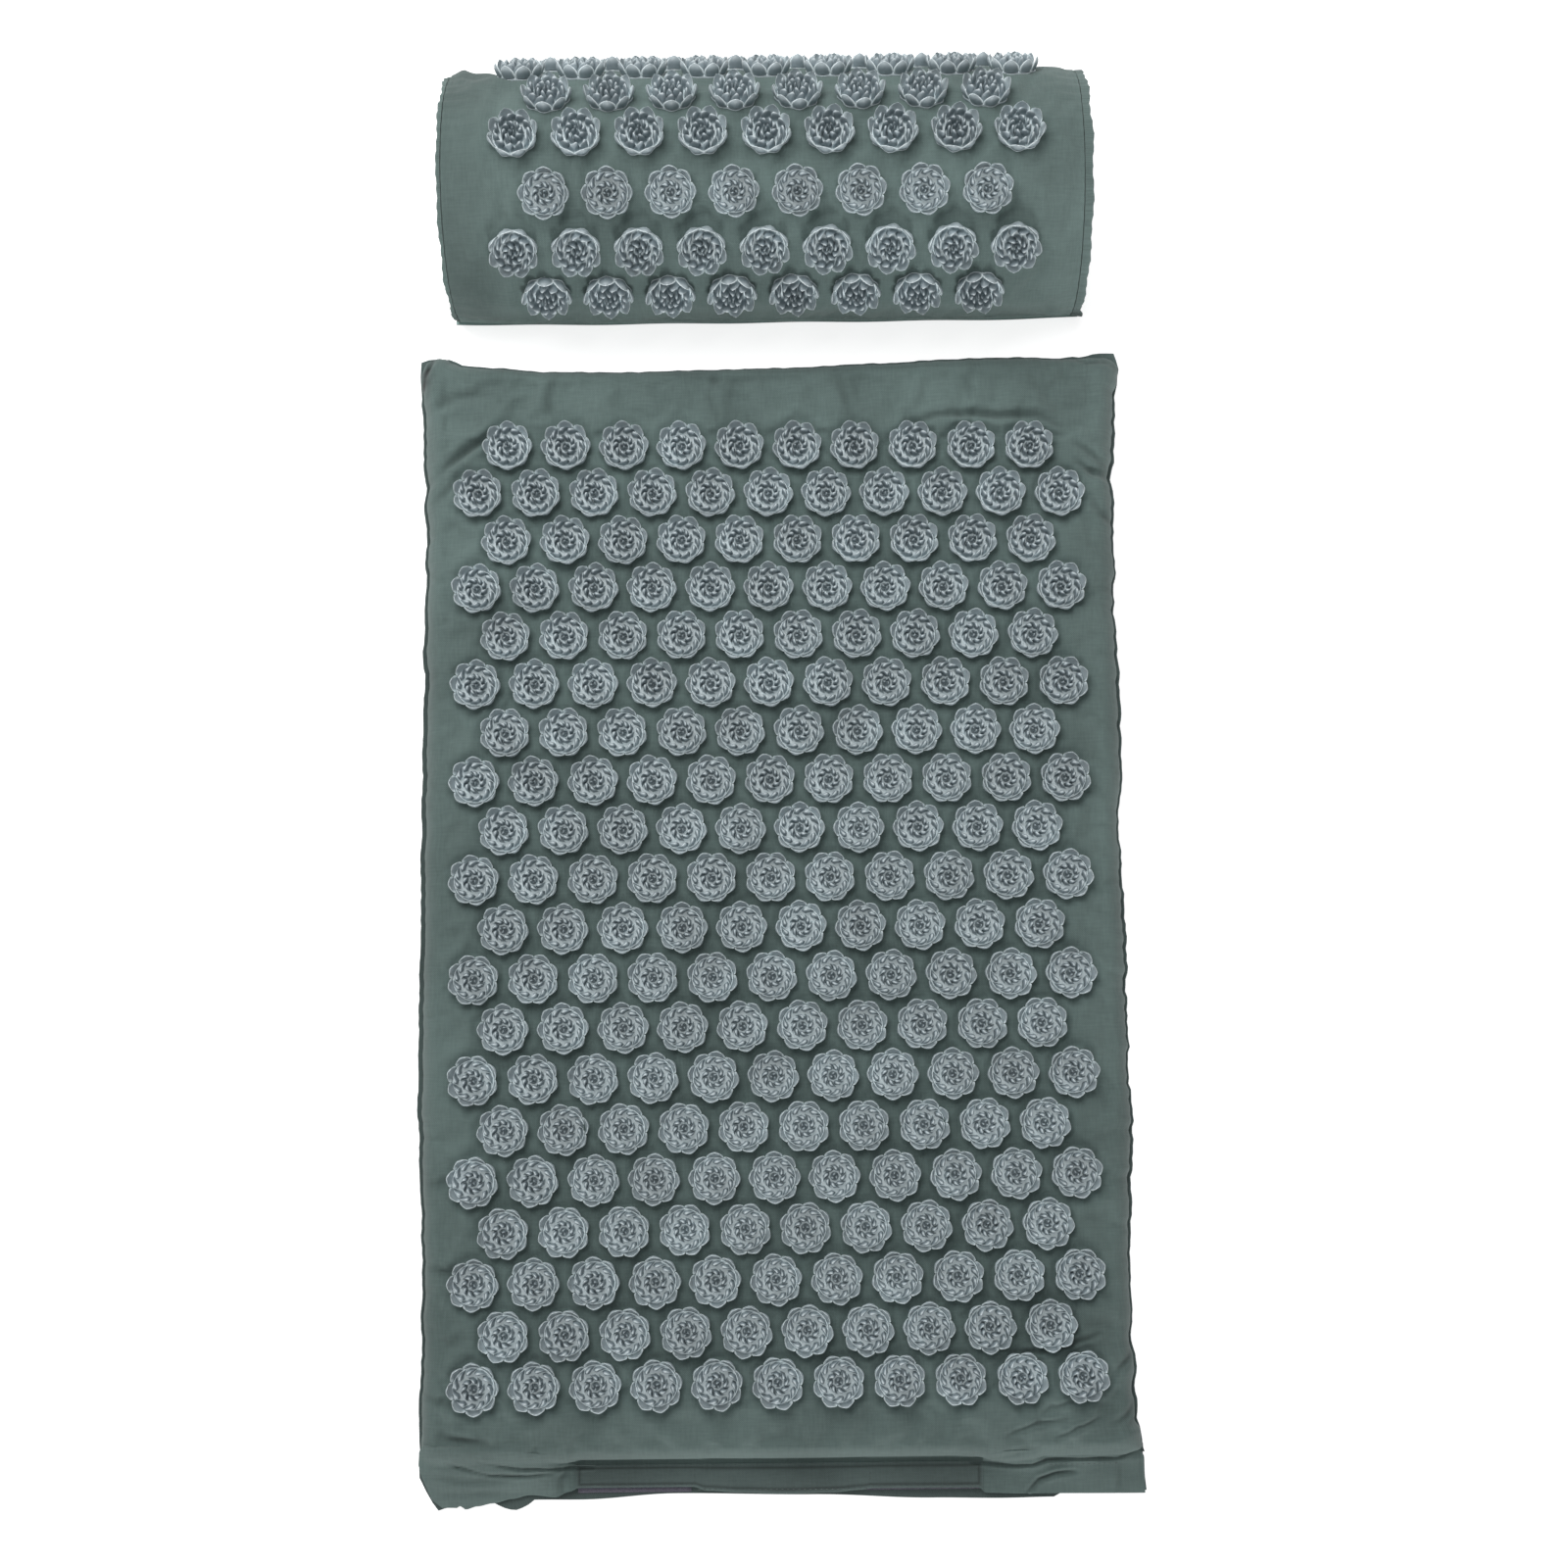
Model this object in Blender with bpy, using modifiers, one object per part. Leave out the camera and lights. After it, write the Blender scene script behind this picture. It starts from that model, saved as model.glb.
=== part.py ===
"""Acupressure mat and half-moon neck pillow, as a set.

Metres, +Z up. The origin is on the floor at the middle of the set's footprint: the mat lies towards -Y with its
closure at the foot edge, and the pillow lies beyond its head edge, towards +Y. Each cover is a cloth shell over a
foam core, closed by a lip with hook and loop tape, and carries staggered rows of plastic lotus spike discs.
"""

from functools import partial
from math import acos, cos, pi, radians, sin, sqrt

import bmesh
import bpy
from mathutils import Matrix, Vector
from mathutils.geometry import delaunay_2d_cdt

# Cloth, tapes and clearances
CLOTH = 0.0012
HEM = 0.0020
TAPE = 0.0010
SEAT_GAP = 0.0003

# Mat: the cover's outline and the foam in it
MAT_HALF_WIDTH = 0.2085
MAT_LENGTH = 0.6570
FOAM_THICKNESS = 0.0200
FOAM_SIDE_INSET = 0.0044
FOAM_EDGE_ROUND = 0.0060
MAT_SHOULDER = 0.0100
MAT_CROWN = 0.0020
CORNER_EAR = 0.0045
EAR_POWER = 6
BOTTOM_MARGIN = 0.0012

# Mat closure: the upper lip and its hook and loop tapes
FLAP_DEPTH = 0.0190
FLAP_SIDE_SHORT = 0.0020
FLAP_ROUND = 0.0007
LOWER_LIP_SHORT = 0.0015
TAPE_LENGTH = 0.0660
TAPE_DEPTH = 0.0133
TAPE_PLACE_SHARE = 0.407
TAPE_FROM_ROOT = 0.0012

# Lotus spike disc
DISC_FOOT_RADIUS = 0.0125
DISC_PLATE_RISE = 0.0012
PETALS = 8
OUTER_TIP_RADIUS = 0.0147
OUTER_TIP_HEIGHT = 0.0096
OUTER_VALLEY_RADIUS = 0.0092
INNER_TIP_RADIUS = 0.0063
INNER_TIP_HEIGHT = 0.0102
INNER_VALLEY_RADIUS = 0.0038
CENTRE_TIP_HEIGHT = 0.0098
GOLDEN_TURN = radians(137.508)

# Disc layout on the mat: the usual spacing, and the bare cloth round the outermost centres
USUAL_COLUMN_PITCH = 0.0350
USUAL_ROW_PITCH = 0.0291
SIDE_MARGIN = 0.0335
FIRST_ROW_FROM_HEAD = 0.0573
LAST_ROW_FROM_FOOT = 0.0468

# Pillow: a D section swept along X, drawn in towards its ends
SET_GAP = 0.0280
PILLOW_RADIUS = 0.0750
PILLOW_CENTRE_HEIGHT = 0.0230
PILLOW_HALF_LENGTH = 0.1880
PILLOW_DRAW_START = 0.1250
PILLOW_DRAWN_SHARE = 0.025
BASE_MARGIN = 0.0010
CORE_CLEARANCE = 0.0007
END_SEAM_DEPTH = 0.0050
END_BULGE = 0.0040
END_RING_SHARES = (0.72, 0.36)

# Disc layout on the pillow
PILLOW_ROWS = 7
PILLOW_USUAL_PITCH = 0.0377
PILLOW_SIDE_MARGIN = 0.0372
PILLOW_ROW_TURN = radians(24.3)
PILLOW_FIRST_ROW = radians(-66.5)

# Pillow closure: a lip from the base's rear edge, up over the wrap
REAR_FLAP_HEIGHT = 0.0150
REAR_FLAP_SIDE_SHORT = 0.0380
REAR_TAPE_LENGTH = 0.0660
REAR_TAPE_HEIGHT = 0.0090
REAR_TAPE_PLACE_SHARE = 0.5
REAR_TAPE_FROM_ROOT = 0.0030

# How finely the cloth is divided
SHOULDER_STEPS = (radians(30), radians(60), radians(90))
INNER_SHOULDER_STEPS = (radians(32), radians(60), radians(90))
MAT_SIDE_PARTS = 14
MAT_EDGE_PARTS = 12
INNER_FIELD_PARTS = (6, 4)
ARC_PARTS = 18
PILLOW_STATION_SHARES = (0.665, 0.84)
FOOT_CLEAR_SHARE = 1.25
MERGE = 0.00002
CREASE_ANGLE = radians(35)
EDGE_STEPS = 2

# Places worked out from the sizes
MAT_FIELD_WIDTH = 2 * (MAT_HALF_WIDTH - SIDE_MARGIN)
MAT_FIELD_LENGTH = MAT_LENGTH - FIRST_ROW_FROM_HEAD - LAST_ROW_FROM_FOOT
MAT_SHORT_ROW = round(MAT_FIELD_WIDTH / USUAL_COLUMN_PITCH)
MAT_COLUMN_PITCH = MAT_FIELD_WIDTH / MAT_SHORT_ROW
MAT_ROWS = 1 + round(MAT_FIELD_LENGTH / USUAL_ROW_PITCH)
MAT_ROW_PITCH = MAT_FIELD_LENGTH / (MAT_ROWS - 1)
PILLOW_FIELD_LENGTH = 2 * (PILLOW_HALF_LENGTH - PILLOW_SIDE_MARGIN)
PILLOW_SHORT_ROW = round(PILLOW_FIELD_LENGTH / PILLOW_USUAL_PITCH)
PILLOW_COLUMN_PITCH = PILLOW_FIELD_LENGTH / PILLOW_SHORT_ROW
FLAP_HALF_WIDTH = MAT_HALF_WIDTH - FLAP_SIDE_SHORT
REAR_FLAP_HALF_WIDTH = PILLOW_HALF_LENGTH - REAR_FLAP_SIDE_SHORT
TAPE_CENTRE = FLAP_HALF_WIDTH * TAPE_PLACE_SHARE
REAR_TAPE_CENTRE = REAR_FLAP_HALF_WIDTH * REAR_TAPE_PLACE_SHARE
RIM_HEIGHT = CLOTH + SEAT_GAP
MAT_RISE = FOAM_THICKNESS + SEAT_GAP + CLOTH
PILLOW_DEPTH = 2 * PILLOW_RADIUS
LAST_ROW = PILLOW_FIRST_ROW + (PILLOW_ROWS - 1) * PILLOW_ROW_TURN
REAR_TIP_REACH = (PILLOW_RADIUS + OUTER_TIP_HEIGHT) * sin(LAST_ROW) + OUTER_TIP_RADIUS * cos(LAST_ROW)
SET_LENGTH = FLAP_DEPTH + SEAT_GAP + MAT_LENGTH + SET_GAP + PILLOW_DEPTH / 2 + REAR_TIP_REACH
FOOT_Y = SEAT_GAP + FLAP_DEPTH - SET_LENGTH / 2
HEAD_Y = FOOT_Y + MAT_LENGTH
PILLOW_Y = HEAD_Y + SET_GAP + PILLOW_DEPTH / 2
LIP_LOW = 2 * TAPE + 3 * SEAT_GAP
LIP_TOP = LIP_LOW + HEM

# Colours of the photograph, as sRGB values from 0 to 255
COTTON = (95, 110, 107)
COTTON_UNDERSIDE = (72, 86, 84)
SPIKE_PLASTIC = (132, 139, 148)
FOAM = (214, 208, 196)
HOOK_TAPE = (74, 76, 88)
LOOP_TAPE = (66, 70, 80)


def clear_scene():
    for old in list(bpy.data.objects):
        bpy.data.objects.remove(old, do_unlink=True)


def linear(level):
    """One sRGB channel from 0 to 255 as a linear value."""
    share = level / 255
    return share / 12.92 if share <= 0.04045 else ((share + 0.055) / 1.055) ** 2.4


def make_material(name, colour, roughness):
    material = bpy.data.materials.new(name)
    material.use_nodes = True
    shader = material.node_tree.nodes["Principled BSDF"]
    shader.inputs["Base Color"].default_value = (*map(linear, colour), 1)
    shader.inputs["Roughness"].default_value = roughness
    shader.inputs["Metallic"].default_value = 0
    return material


def finish(name, mesh, materials, location=(0, 0, 0)):
    """Places a mesh in the set's collection, with its materials and smooth round faces."""
    for material in materials:
        mesh.materials.append(material)
    mesh.shade_smooth()
    mesh.set_sharp_from_angle(angle=CREASE_ANGLE)
    part = bpy.data.objects.new(name, mesh)
    part.location = location
    bpy.data.collections["acupressure_set"].objects.link(part)
    return part


def from_bmesh(name, form, materials, location=(0, 0, 0)):
    bmesh.ops.recalc_face_normals(form, faces=form.faces)
    mesh = bpy.data.meshes.new(name)
    form.to_mesh(mesh)
    form.free()
    return finish(name, mesh, materials, location)


def block(name, low, high, material, edge_round=0, pivot=(0, 0, 0), frame=Matrix.Identity(4)):
    """A box between two corners of a frame, with rounded edges and its origin at the pivot in that frame."""
    form = bmesh.new()
    size = Vector(high) - Vector(low)
    middle = (Vector(high) + Vector(low)) / 2 - Vector(pivot)
    bmesh.ops.create_cube(form, size=1, matrix=Matrix.Translation(middle) @ Matrix.Diagonal((*size, 1)))
    part = from_bmesh(name, form, [material], frame @ Vector(pivot))
    part.rotation_euler = frame.to_euler()
    if edge_round:
        bevel = part.modifiers.new("rounded edges", "BEVEL")
        bevel.width = edge_round
        bevel.segments = EDGE_STEPS
    return part


class MatForm:
    """The mat cover's shape over its plan, at a depth below its outer face.

    The cloth rises from the rim as a quarter ellipse across the shoulder, then bulges slightly across the field.
    Near the head its sides and its head edge swing out to the corner ears.
    """

    def __init__(self, depth):
        self.half_width = MAT_HALF_WIDTH - depth
        self.foot = FOOT_Y + depth
        self.head = HEAD_Y - depth
        self.shoulder = MAT_SHOULDER - depth
        self.rise = MAT_RISE - depth

    def inset(self, x, y):
        return self.half_width - abs(x), min(self.head - y, y - self.foot)

    def rounding(self, inset):
        return sqrt(max(0, 1 - max(0, 1 - inset / self.shoulder) ** 2))

    def place(self, x, y):
        side_inset, end_inset = self.inset(x, y)
        across = x / self.half_width
        along = (2 * y - self.head - self.foot) / (self.head - self.foot)
        height = RIM_HEIGHT + self.rise * self.rounding(min(side_inset, end_inset))
        height += MAT_CROWN * (1 - across**2) * (1 - along**2)
        out_x = CORNER_EAR * max(0, 1 - side_inset / self.shoulder) * max(0, along) ** EAR_POWER
        out_y = CORNER_EAR * max(0, 1 - end_inset / self.shoulder) * abs(across) ** EAR_POWER
        return Vector((x + (out_x if x > 0 else -out_x), y + (out_y if along > 0 else 0), height))

    def place_rigid(self, centre, offset, height):
        """A point of a flat disc that stands on the cloth at the centre."""
        return self.place(*centre) + Vector((offset.x, offset.y, height))

    def loops(self, turns):
        """The plan's outline, then the loops drawn in from it to these turns of the shoulder's ellipse."""
        found = []
        for turn in (0, *turns):
            inset = self.shoulder * (1 - cos(turn))
            low = Vector((-self.half_width + inset, self.foot + inset))
            high = Vector((self.half_width - inset, self.head - inset))
            found.append(rectangle_points(low, high, MAT_EDGE_PARTS, MAT_SIDE_PARTS))
        return found


class PillowForm:
    """The pillow cover's D section along X, over (x, arc length from the top), at a depth below its outer face."""

    def __init__(self, depth):
        self.radius = PILLOW_RADIUS - depth
        self.rim_turn = acos((RIM_HEIGHT - PILLOW_CENTRE_HEIGHT) / self.radius)

    def drawn(self, x):
        """The section's scale at x: full along the discs, then drawn in towards the ends."""
        past = max(0, abs(x) - PILLOW_DRAW_START) / (PILLOW_HALF_LENGTH - PILLOW_DRAW_START)
        return 1 - PILLOW_DRAWN_SHARE * past**2

    def place(self, x, arc):
        turn = arc / PILLOW_RADIUS
        scale = self.drawn(x)
        height = PILLOW_CENTRE_HEIGHT + self.radius * cos(turn) - RIM_HEIGHT
        return Vector((x, PILLOW_Y + scale * self.radius * sin(turn), RIM_HEIGHT + scale * height))

    def place_rigid(self, centre, offset, height):
        """A point of a flat disc whose plate is tangent to the dome at the centre."""
        turn = centre[1] / PILLOW_RADIUS
        along = Vector((0, cos(turn), -sin(turn)))
        outward = Vector((0, sin(turn), cos(turn)))
        return self.place(*centre) + Vector((offset.x, 0, 0)) + along * offset.y + outward * height


def rectangle_points(low, high, x_parts, y_parts):
    """Points round a rectangle, anticlockwise from its low corner."""
    size = high - low
    foot = [low + Vector((size.x * i / x_parts, 0)) for i in range(x_parts)]
    right = [Vector((high.x, low.y + size.y * i / y_parts)) for i in range(y_parts)]
    head = [high - Vector((size.x * i / x_parts, 0)) for i in range(x_parts)]
    left = [Vector((low.x, high.y - size.y * i / y_parts)) for i in range(y_parts)]
    return foot + right + head + left


def ring(radius, count, turn):
    """Offsets of points round a disc's centre."""
    turns = [turn + 2 * pi * i / count for i in range(count)]
    return [Vector((radius * cos(at), radius * sin(at))) for at in turns]


def spike(form, corners, tip):
    """A pointed petal: one face from each edge of its base to its tip."""
    for i, corner in enumerate(corners):
        form.faces.new((corner, corners[(i + 1) % len(corners)], tip)).material_index = 1


def petal_ring(form, seat, outer, valley_radius, valley_count, tip_radius, tip_height, turn):
    """One ring of petals inside a closed ring of vertices. It returns the ring of valleys left inside.

    Each petal stands on two neighbouring outer vertices and a valley. With half as many valleys as petals, two
    petals share one.
    """
    count = len(outer)
    shared = count // valley_count
    step = 2 * pi / count
    offsets = ring(valley_radius, valley_count, turn + step * shared / 2)
    valleys = [form.verts.new(seat(offset, DISC_PLATE_RISE)) for offset in offsets]
    for i, tip in enumerate(ring(tip_radius, count, turn + step / 2)):
        corners = (outer[i], outer[(i + 1) % count], valleys[i // shared])
        spike(form, corners, form.verts.new(seat(tip, tip_height)))
    for k, valley in enumerate(valleys):
        between = outer[(k + 1) * shared % count]
        form.faces.new((between, valleys[(k + 1) % valley_count], valley)).material_index = 1
    return valleys


def lotus_disc(form, seat, foot, turn, fine):
    """Fills the hole inside a ring of foot vertices with a lotus disc.

    The plain disc has eight outer petals and four inner spikes. The fine one has two full rings and a centre tip.
    """
    valley_count = PETALS if fine else PETALS // 2
    inner = petal_ring(form, seat, foot, OUTER_VALLEY_RADIUS, valley_count, OUTER_TIP_RADIUS, OUTER_TIP_HEIGHT, turn)
    inner_turn = turn + pi / valley_count
    if fine:
        last = petal_ring(
            form, seat, inner, INNER_VALLEY_RADIUS, PETALS, INNER_TIP_RADIUS, INNER_TIP_HEIGHT, inner_turn
        )
        spike(form, last, form.verts.new(seat(Vector((0, 0)), CENTRE_TIP_HEIGHT)))
        return
    middle = form.verts.new(seat(Vector((0, 0)), DISC_PLATE_RISE))
    for i, tip in enumerate(ring(INNER_TIP_RADIUS, valley_count, inner_turn + pi / valley_count)):
        corners = (inner[i], inner[(i + 1) % valley_count], middle)
        spike(form, corners, form.verts.new(seat(tip, INNER_TIP_HEIGHT)))


def sheet(form, surface, loops, loose, holes=()):
    """One face of the cloth: its plan is split into triangles between the loops, the loose points and the holes.

    The first loop is the rim, and the holes are rings of points left open. It returns the rim's vertices and a list
    of vertices for each hole.
    """
    plan = []
    spans = []
    for loop in (*loops, *holes):
        spans.append(range(len(plan), len(plan) + len(loop)))
        plan += loop
    plan += loose
    edges = [(i, i + 1 if i + 1 < span.stop else span.start) for span in spans[: len(loops)] for i in span]
    open_faces = [list(span) for span in spans[len(loops) :]]
    points, _, faces, came_from, _, covers = delaunay_2d_cdt(plan, edges, open_faces, 0, MERGE)
    verts = [form.verts.new(surface.place(*point)) for point in points]
    now_at = {old: verts[new] for new, olds in enumerate(came_from) for old in olds}
    for face, covered in zip(faces, covers):
        if not covered:
            form.faces.new([verts[i] for i in face])
    return [now_at[i] for i in spans[0]], [[now_at[i] for i in span] for span in open_faces]


def disc_sheet(form, surface, loops, loose, centres, fine):
    """The cloth's outer face with a lotus disc at each centre, each turned by the golden angle from the last."""
    turns = [number * GOLDEN_TURN for number in range(len(centres))]
    places = list(zip(centres, turns))
    holes = [[Vector(at) + offset for offset in ring(DISC_FOOT_RADIUS, PETALS, turn)] for at, turn in places]
    rim, feet = sheet(form, surface, loops, loose, holes)
    for (centre, turn), foot in zip(places, feet):
        lotus_disc(form, partial(surface.place_rigid, centre), foot, turn, fine)
    return rim


def join_rims(form, outer, inner):
    """The cloth's cut edge, between the rims of its outer and inner faces."""
    for i in range(len(outer)):
        j = (i + 1) % len(outer)
        form.faces.new((outer[j], outer[i], inner[i], inner[j]))


def mat_disc_centres():
    """Rows from the head, each second one with a disc more: 10 and 11 in turn on 20 rows at the usual size."""
    first = HEAD_Y - FIRST_ROW_FROM_HEAD
    centres = []
    for row in range(MAT_ROWS):
        count = MAT_SHORT_ROW + row % 2
        for column in range(count):
            x = (column - (count - 1) / 2) * MAT_COLUMN_PITCH
            centres.append((x, first - row * MAT_ROW_PITCH))
    return centres


def pillow_disc_centres():
    """Rows from the front foot to the rear, as (x, arc length): 8 and 9 discs in turn at the usual length."""
    centres = []
    for row in range(PILLOW_ROWS):
        count = PILLOW_SHORT_ROW + row % 2
        arc = PILLOW_RADIUS * (PILLOW_FIRST_ROW + row * PILLOW_ROW_TURN)
        for column in range(count):
            centres.append(((column - (count - 1) / 2) * PILLOW_COLUMN_PITCH, arc))
    return centres


def mat_top_panel(cotton, plastic):
    form = bmesh.new()
    outside = MatForm(0)
    inside = MatForm(CLOTH)
    outer = disc_sheet(form, outside, outside.loops(SHOULDER_STEPS), [], mat_disc_centres(), False)
    loops = inside.loops(INNER_SHOULDER_STEPS)
    rows, columns = INNER_FIELD_PARTS
    low = loops[-1][0]
    size = loops[-1][MAT_EDGE_PARTS + MAT_SIDE_PARTS] - low
    shares = [(i / columns, j / rows) for i in range(1, columns) for j in range(1, rows)]
    inner, _ = sheet(form, inside, loops, [low + size * Vector(share) for share in shares])
    join_rims(form, outer, inner)
    return from_bmesh("mat_top_panel", form, [cotton, plastic])


def flat_sheet(name, points, low, thickness, material):
    """A flat outline, extruded upwards from its low face."""
    curve = bpy.data.curves.new(name, "CURVE")
    curve.dimensions = "2D"
    curve.fill_mode = "BOTH"
    curve.extrude = thickness / 2
    spline = curve.splines.new("POLY")
    spline.points.add(len(points) - 1)
    for point, place in zip(spline.points, points):
        point.co = (place[0], place[1], 0, 1)
    spline.use_cyclic_u = True
    curve.materials.append(material)
    part = bpy.data.objects.new(name, curve)
    part.location.z = low + thickness / 2
    bpy.data.collections["acupressure_set"].objects.link(part)
    return part


def mat_bottom_panel(material):
    """The flat underside. At the foot it runs on as the lower lip, a little short of the flap above it."""
    form = MatForm(-BOTTOM_MARGIN)
    points = [form.place(*point) for point in form.loops([])[0]]
    lip_y = FOOT_Y - SEAT_GAP - FLAP_DEPTH + LOWER_LIP_SHORT
    foot = (Vector((-FLAP_HALF_WIDTH, lip_y)), Vector((FLAP_HALF_WIDTH, lip_y)))
    return flat_sheet("mat_bottom_panel", [*foot, *points[MAT_EDGE_PARTS:]], 0, CLOTH, material)


def mat_foam_core(material):
    inset = CLOTH + FOAM_SIDE_INSET
    low = (inset - MAT_HALF_WIDTH, FOOT_Y + inset, RIM_HEIGHT)
    high = (MAT_HALF_WIDTH - inset, HEAD_Y - inset, RIM_HEIGHT + FOAM_THICKNESS)
    return block("mat_foam_core", low, high, material, FOAM_EDGE_ROUND)


def closure(name, frame, half_width, depth, tape, materials):
    """A hinged lip with two hook tapes under it and two loop tapes on the cloth that it closes over.

    In the frame, Y runs from the lip's sewn root to its free edge and Z runs out from the cloth. The lip turns about
    X at its root's outer edge. The tape is given as its length, its width, its place along X and its way from the root.
    """
    cotton, hook, loop = materials
    pivot = (0, 0, LIP_TOP)
    size = ((-half_width, 0, LIP_LOW), (half_width, depth, LIP_TOP))
    block(f"{name}_closure_flap", *size, cotton, FLAP_ROUND, pivot, frame)
    length, width, centre, start = tape
    kinds = (("hook", LIP_LOW - SEAT_GAP - TAPE, hook, pivot), ("loop", SEAT_GAP, loop, (0, 0, 0)))
    for kind, low, material, at in kinds:
        for side, word in ((1, "left"), (-1, "right")):
            middle = side * centre
            corners = ((middle - length / 2, start, low), (middle + length / 2, start + width, low + TAPE))
            block(f"{name}_{kind}_tape_{word}", *corners, material, 0, at, frame)


def closure_frame(origin, along, outward):
    """The frame of a closure from its root, the way to its free edge and the way out from the cloth."""
    across = along.cross(outward)
    turn = Matrix((across, along, outward)).transposed().to_4x4()
    return Matrix.Translation(origin) @ turn


def mat_closure_frame():
    return closure_frame(Vector((0, FOOT_Y - SEAT_GAP, CLOTH)), Vector((0, -1, 0)), Vector((0, 0, 1)))


def pillow_closure_frame():
    """The rear lip is flat and touches the arc's tangent at half its height, with its root just over the base."""
    wrap = PillowForm(0)
    turn = wrap.rim_turn - REAR_FLAP_HEIGHT / 2 / PILLOW_RADIUS
    along = Vector((0, -cos(turn), sin(turn)))
    outward = Vector((0, sin(turn), cos(turn)))
    middle = wrap.place(0, turn * PILLOW_RADIUS)
    down = (middle.z + LIP_TOP * outward.z - RIM_HEIGHT) / along.z
    return closure_frame(middle - along * down, along, outward)


def pillow_stations():
    """The places along X where the drawn-in section is set."""
    shares = [*PILLOW_STATION_SHARES, 1]
    return [-PILLOW_HALF_LENGTH * share for share in reversed(shares)] + [PILLOW_HALF_LENGTH * share for share in shares]


def pillow_outline(surface):
    """The wrap's plan: along the front rim, up the arc at one end, back along the rear rim and down the other."""
    reach = surface.rim_turn * PILLOW_RADIUS
    stations = pillow_stations()
    arcs = [-reach + 2 * reach * i / ARC_PARTS for i in range(ARC_PARTS + 1)]
    front = [Vector((x, -reach)) for x in stations]
    right = [Vector((stations[-1], arc)) for arc in arcs[1:]]
    rear = [Vector((x, reach)) for x in reversed(stations[:-1])]
    left = [Vector((stations[0], arc)) for arc in reversed(arcs[1:-1])]
    inside = [Vector((x, arc)) for x in stations[1:-1] for arc in arcs[1:-1]]
    return front + right + rear + left, inside


def pillow_wrap_panel(cotton, plastic):
    form = bmesh.new()
    outside = PillowForm(0)
    inside = PillowForm(CLOTH)
    outline, columns = pillow_outline(outside)
    centres = pillow_disc_centres()
    arcs = sorted({point.y for point in columns})
    columns += [Vector((x, arc)) for x, _ in centres[:PILLOW_SHORT_ROW] for arc in arcs]
    clear = DISC_FOOT_RADIUS * FOOT_CLEAR_SHARE
    loose = [point for point in columns if all((point - Vector(centre)).length > clear for centre in centres)]
    outer = disc_sheet(form, outside, [outline], loose, centres, True)
    inner_outline, inner_columns = pillow_outline(inside)
    inner, _ = sheet(form, inside, [inner_outline], inner_columns)
    join_rims(form, outer, inner)
    return from_bmesh("pillow_wrap_panel", form, [cotton, plastic])


def pillow_base_panel(material):
    """The flat underside. Its ends reach under the seam edges, and its rear edge reaches under the closure's root."""
    form = PillowForm(-BASE_MARGIN)
    rim = form.rim_turn * PILLOW_RADIUS
    rear_reach = (pillow_closure_frame() @ Vector((0, 0, LIP_TOP))).y - PILLOW_Y
    end = PILLOW_HALF_LENGTH + SEAT_GAP + END_SEAM_DEPTH
    stations = pillow_stations()
    sides = zip([-end, *stations[1:-1], end], stations)
    edges = [(x, form.place(at, -rim).y, PILLOW_Y + rear_reach * form.drawn(at)) for x, at in sides]
    front = [(x, low) for x, low, _ in edges]
    rear = [(x, high) for x, _, high in reversed(edges)]
    return flat_sheet("pillow_base_panel", front + rear, 0, CLOTH, material)


def section(form, x, scale=1):
    """The D section's points at x, scaled about the middle of its height."""
    reach = form.rim_turn * PILLOW_RADIUS
    points = [form.place(x, -reach + 2 * reach * i / ARC_PARTS) for i in range(ARC_PARTS + 1)]
    middle = Vector((x, PILLOW_Y, (points[0].z + points[ARC_PARTS // 2].z) / 2))
    return [middle + (point - middle) * scale for point in points]


def loft(name, sections, materials):
    """A closed solid through sections with equal point counts, capped at both ends."""
    form = bmesh.new()
    rings = [[form.verts.new(point) for point in points] for points in sections]
    for here, there in zip(rings, rings[1:]):
        for i in range(len(here)):
            j = (i + 1) % len(here)
            form.faces.new((here[i], here[j], there[j], there[i]))
    form.faces.new(rings[0])
    form.faces.new(rings[-1])
    return from_bmesh(name, form, materials)


def pillow_foam_core(material):
    form = PillowForm(CLOTH + CORE_CLEARANCE)
    return loft("pillow_foam_core", [section(form, x) for x in pillow_stations()], [material])


def pillow_end(name, side, cotton):
    """A D-shaped end cloth that bulges outwards, with its standing seam edge around it."""
    form = PillowForm(0)
    start = side * (PILLOW_HALF_LENGTH + SEAT_GAP)
    seam_share = 1 - CLOTH / PILLOW_RADIUS
    steps = [(END_RING_SHARES[1], END_BULGE), (END_RING_SHARES[0], END_BULGE / 2), (1, 0)]
    steps += [(1, END_SEAM_DEPTH), (seam_share, END_SEAM_DEPTH), (seam_share, CLOTH)]
    steps += [(END_RING_SHARES[0], CLOTH + END_BULGE / 2), (END_RING_SHARES[1], CLOTH + END_BULGE)]
    edge = section(form, side * PILLOW_HALF_LENGTH)
    middle = Vector((0, PILLOW_Y, (edge[0].z + edge[ARC_PARTS // 2].z) / 2))
    sections = []
    for scale, out in steps:
        plane = Vector((start + side * out, 0, 0))
        sections.append([plane + middle + (Vector((0, point.y, point.z)) - middle) * scale for point in edge])
    return loft(name, sections, [cotton])


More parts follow.
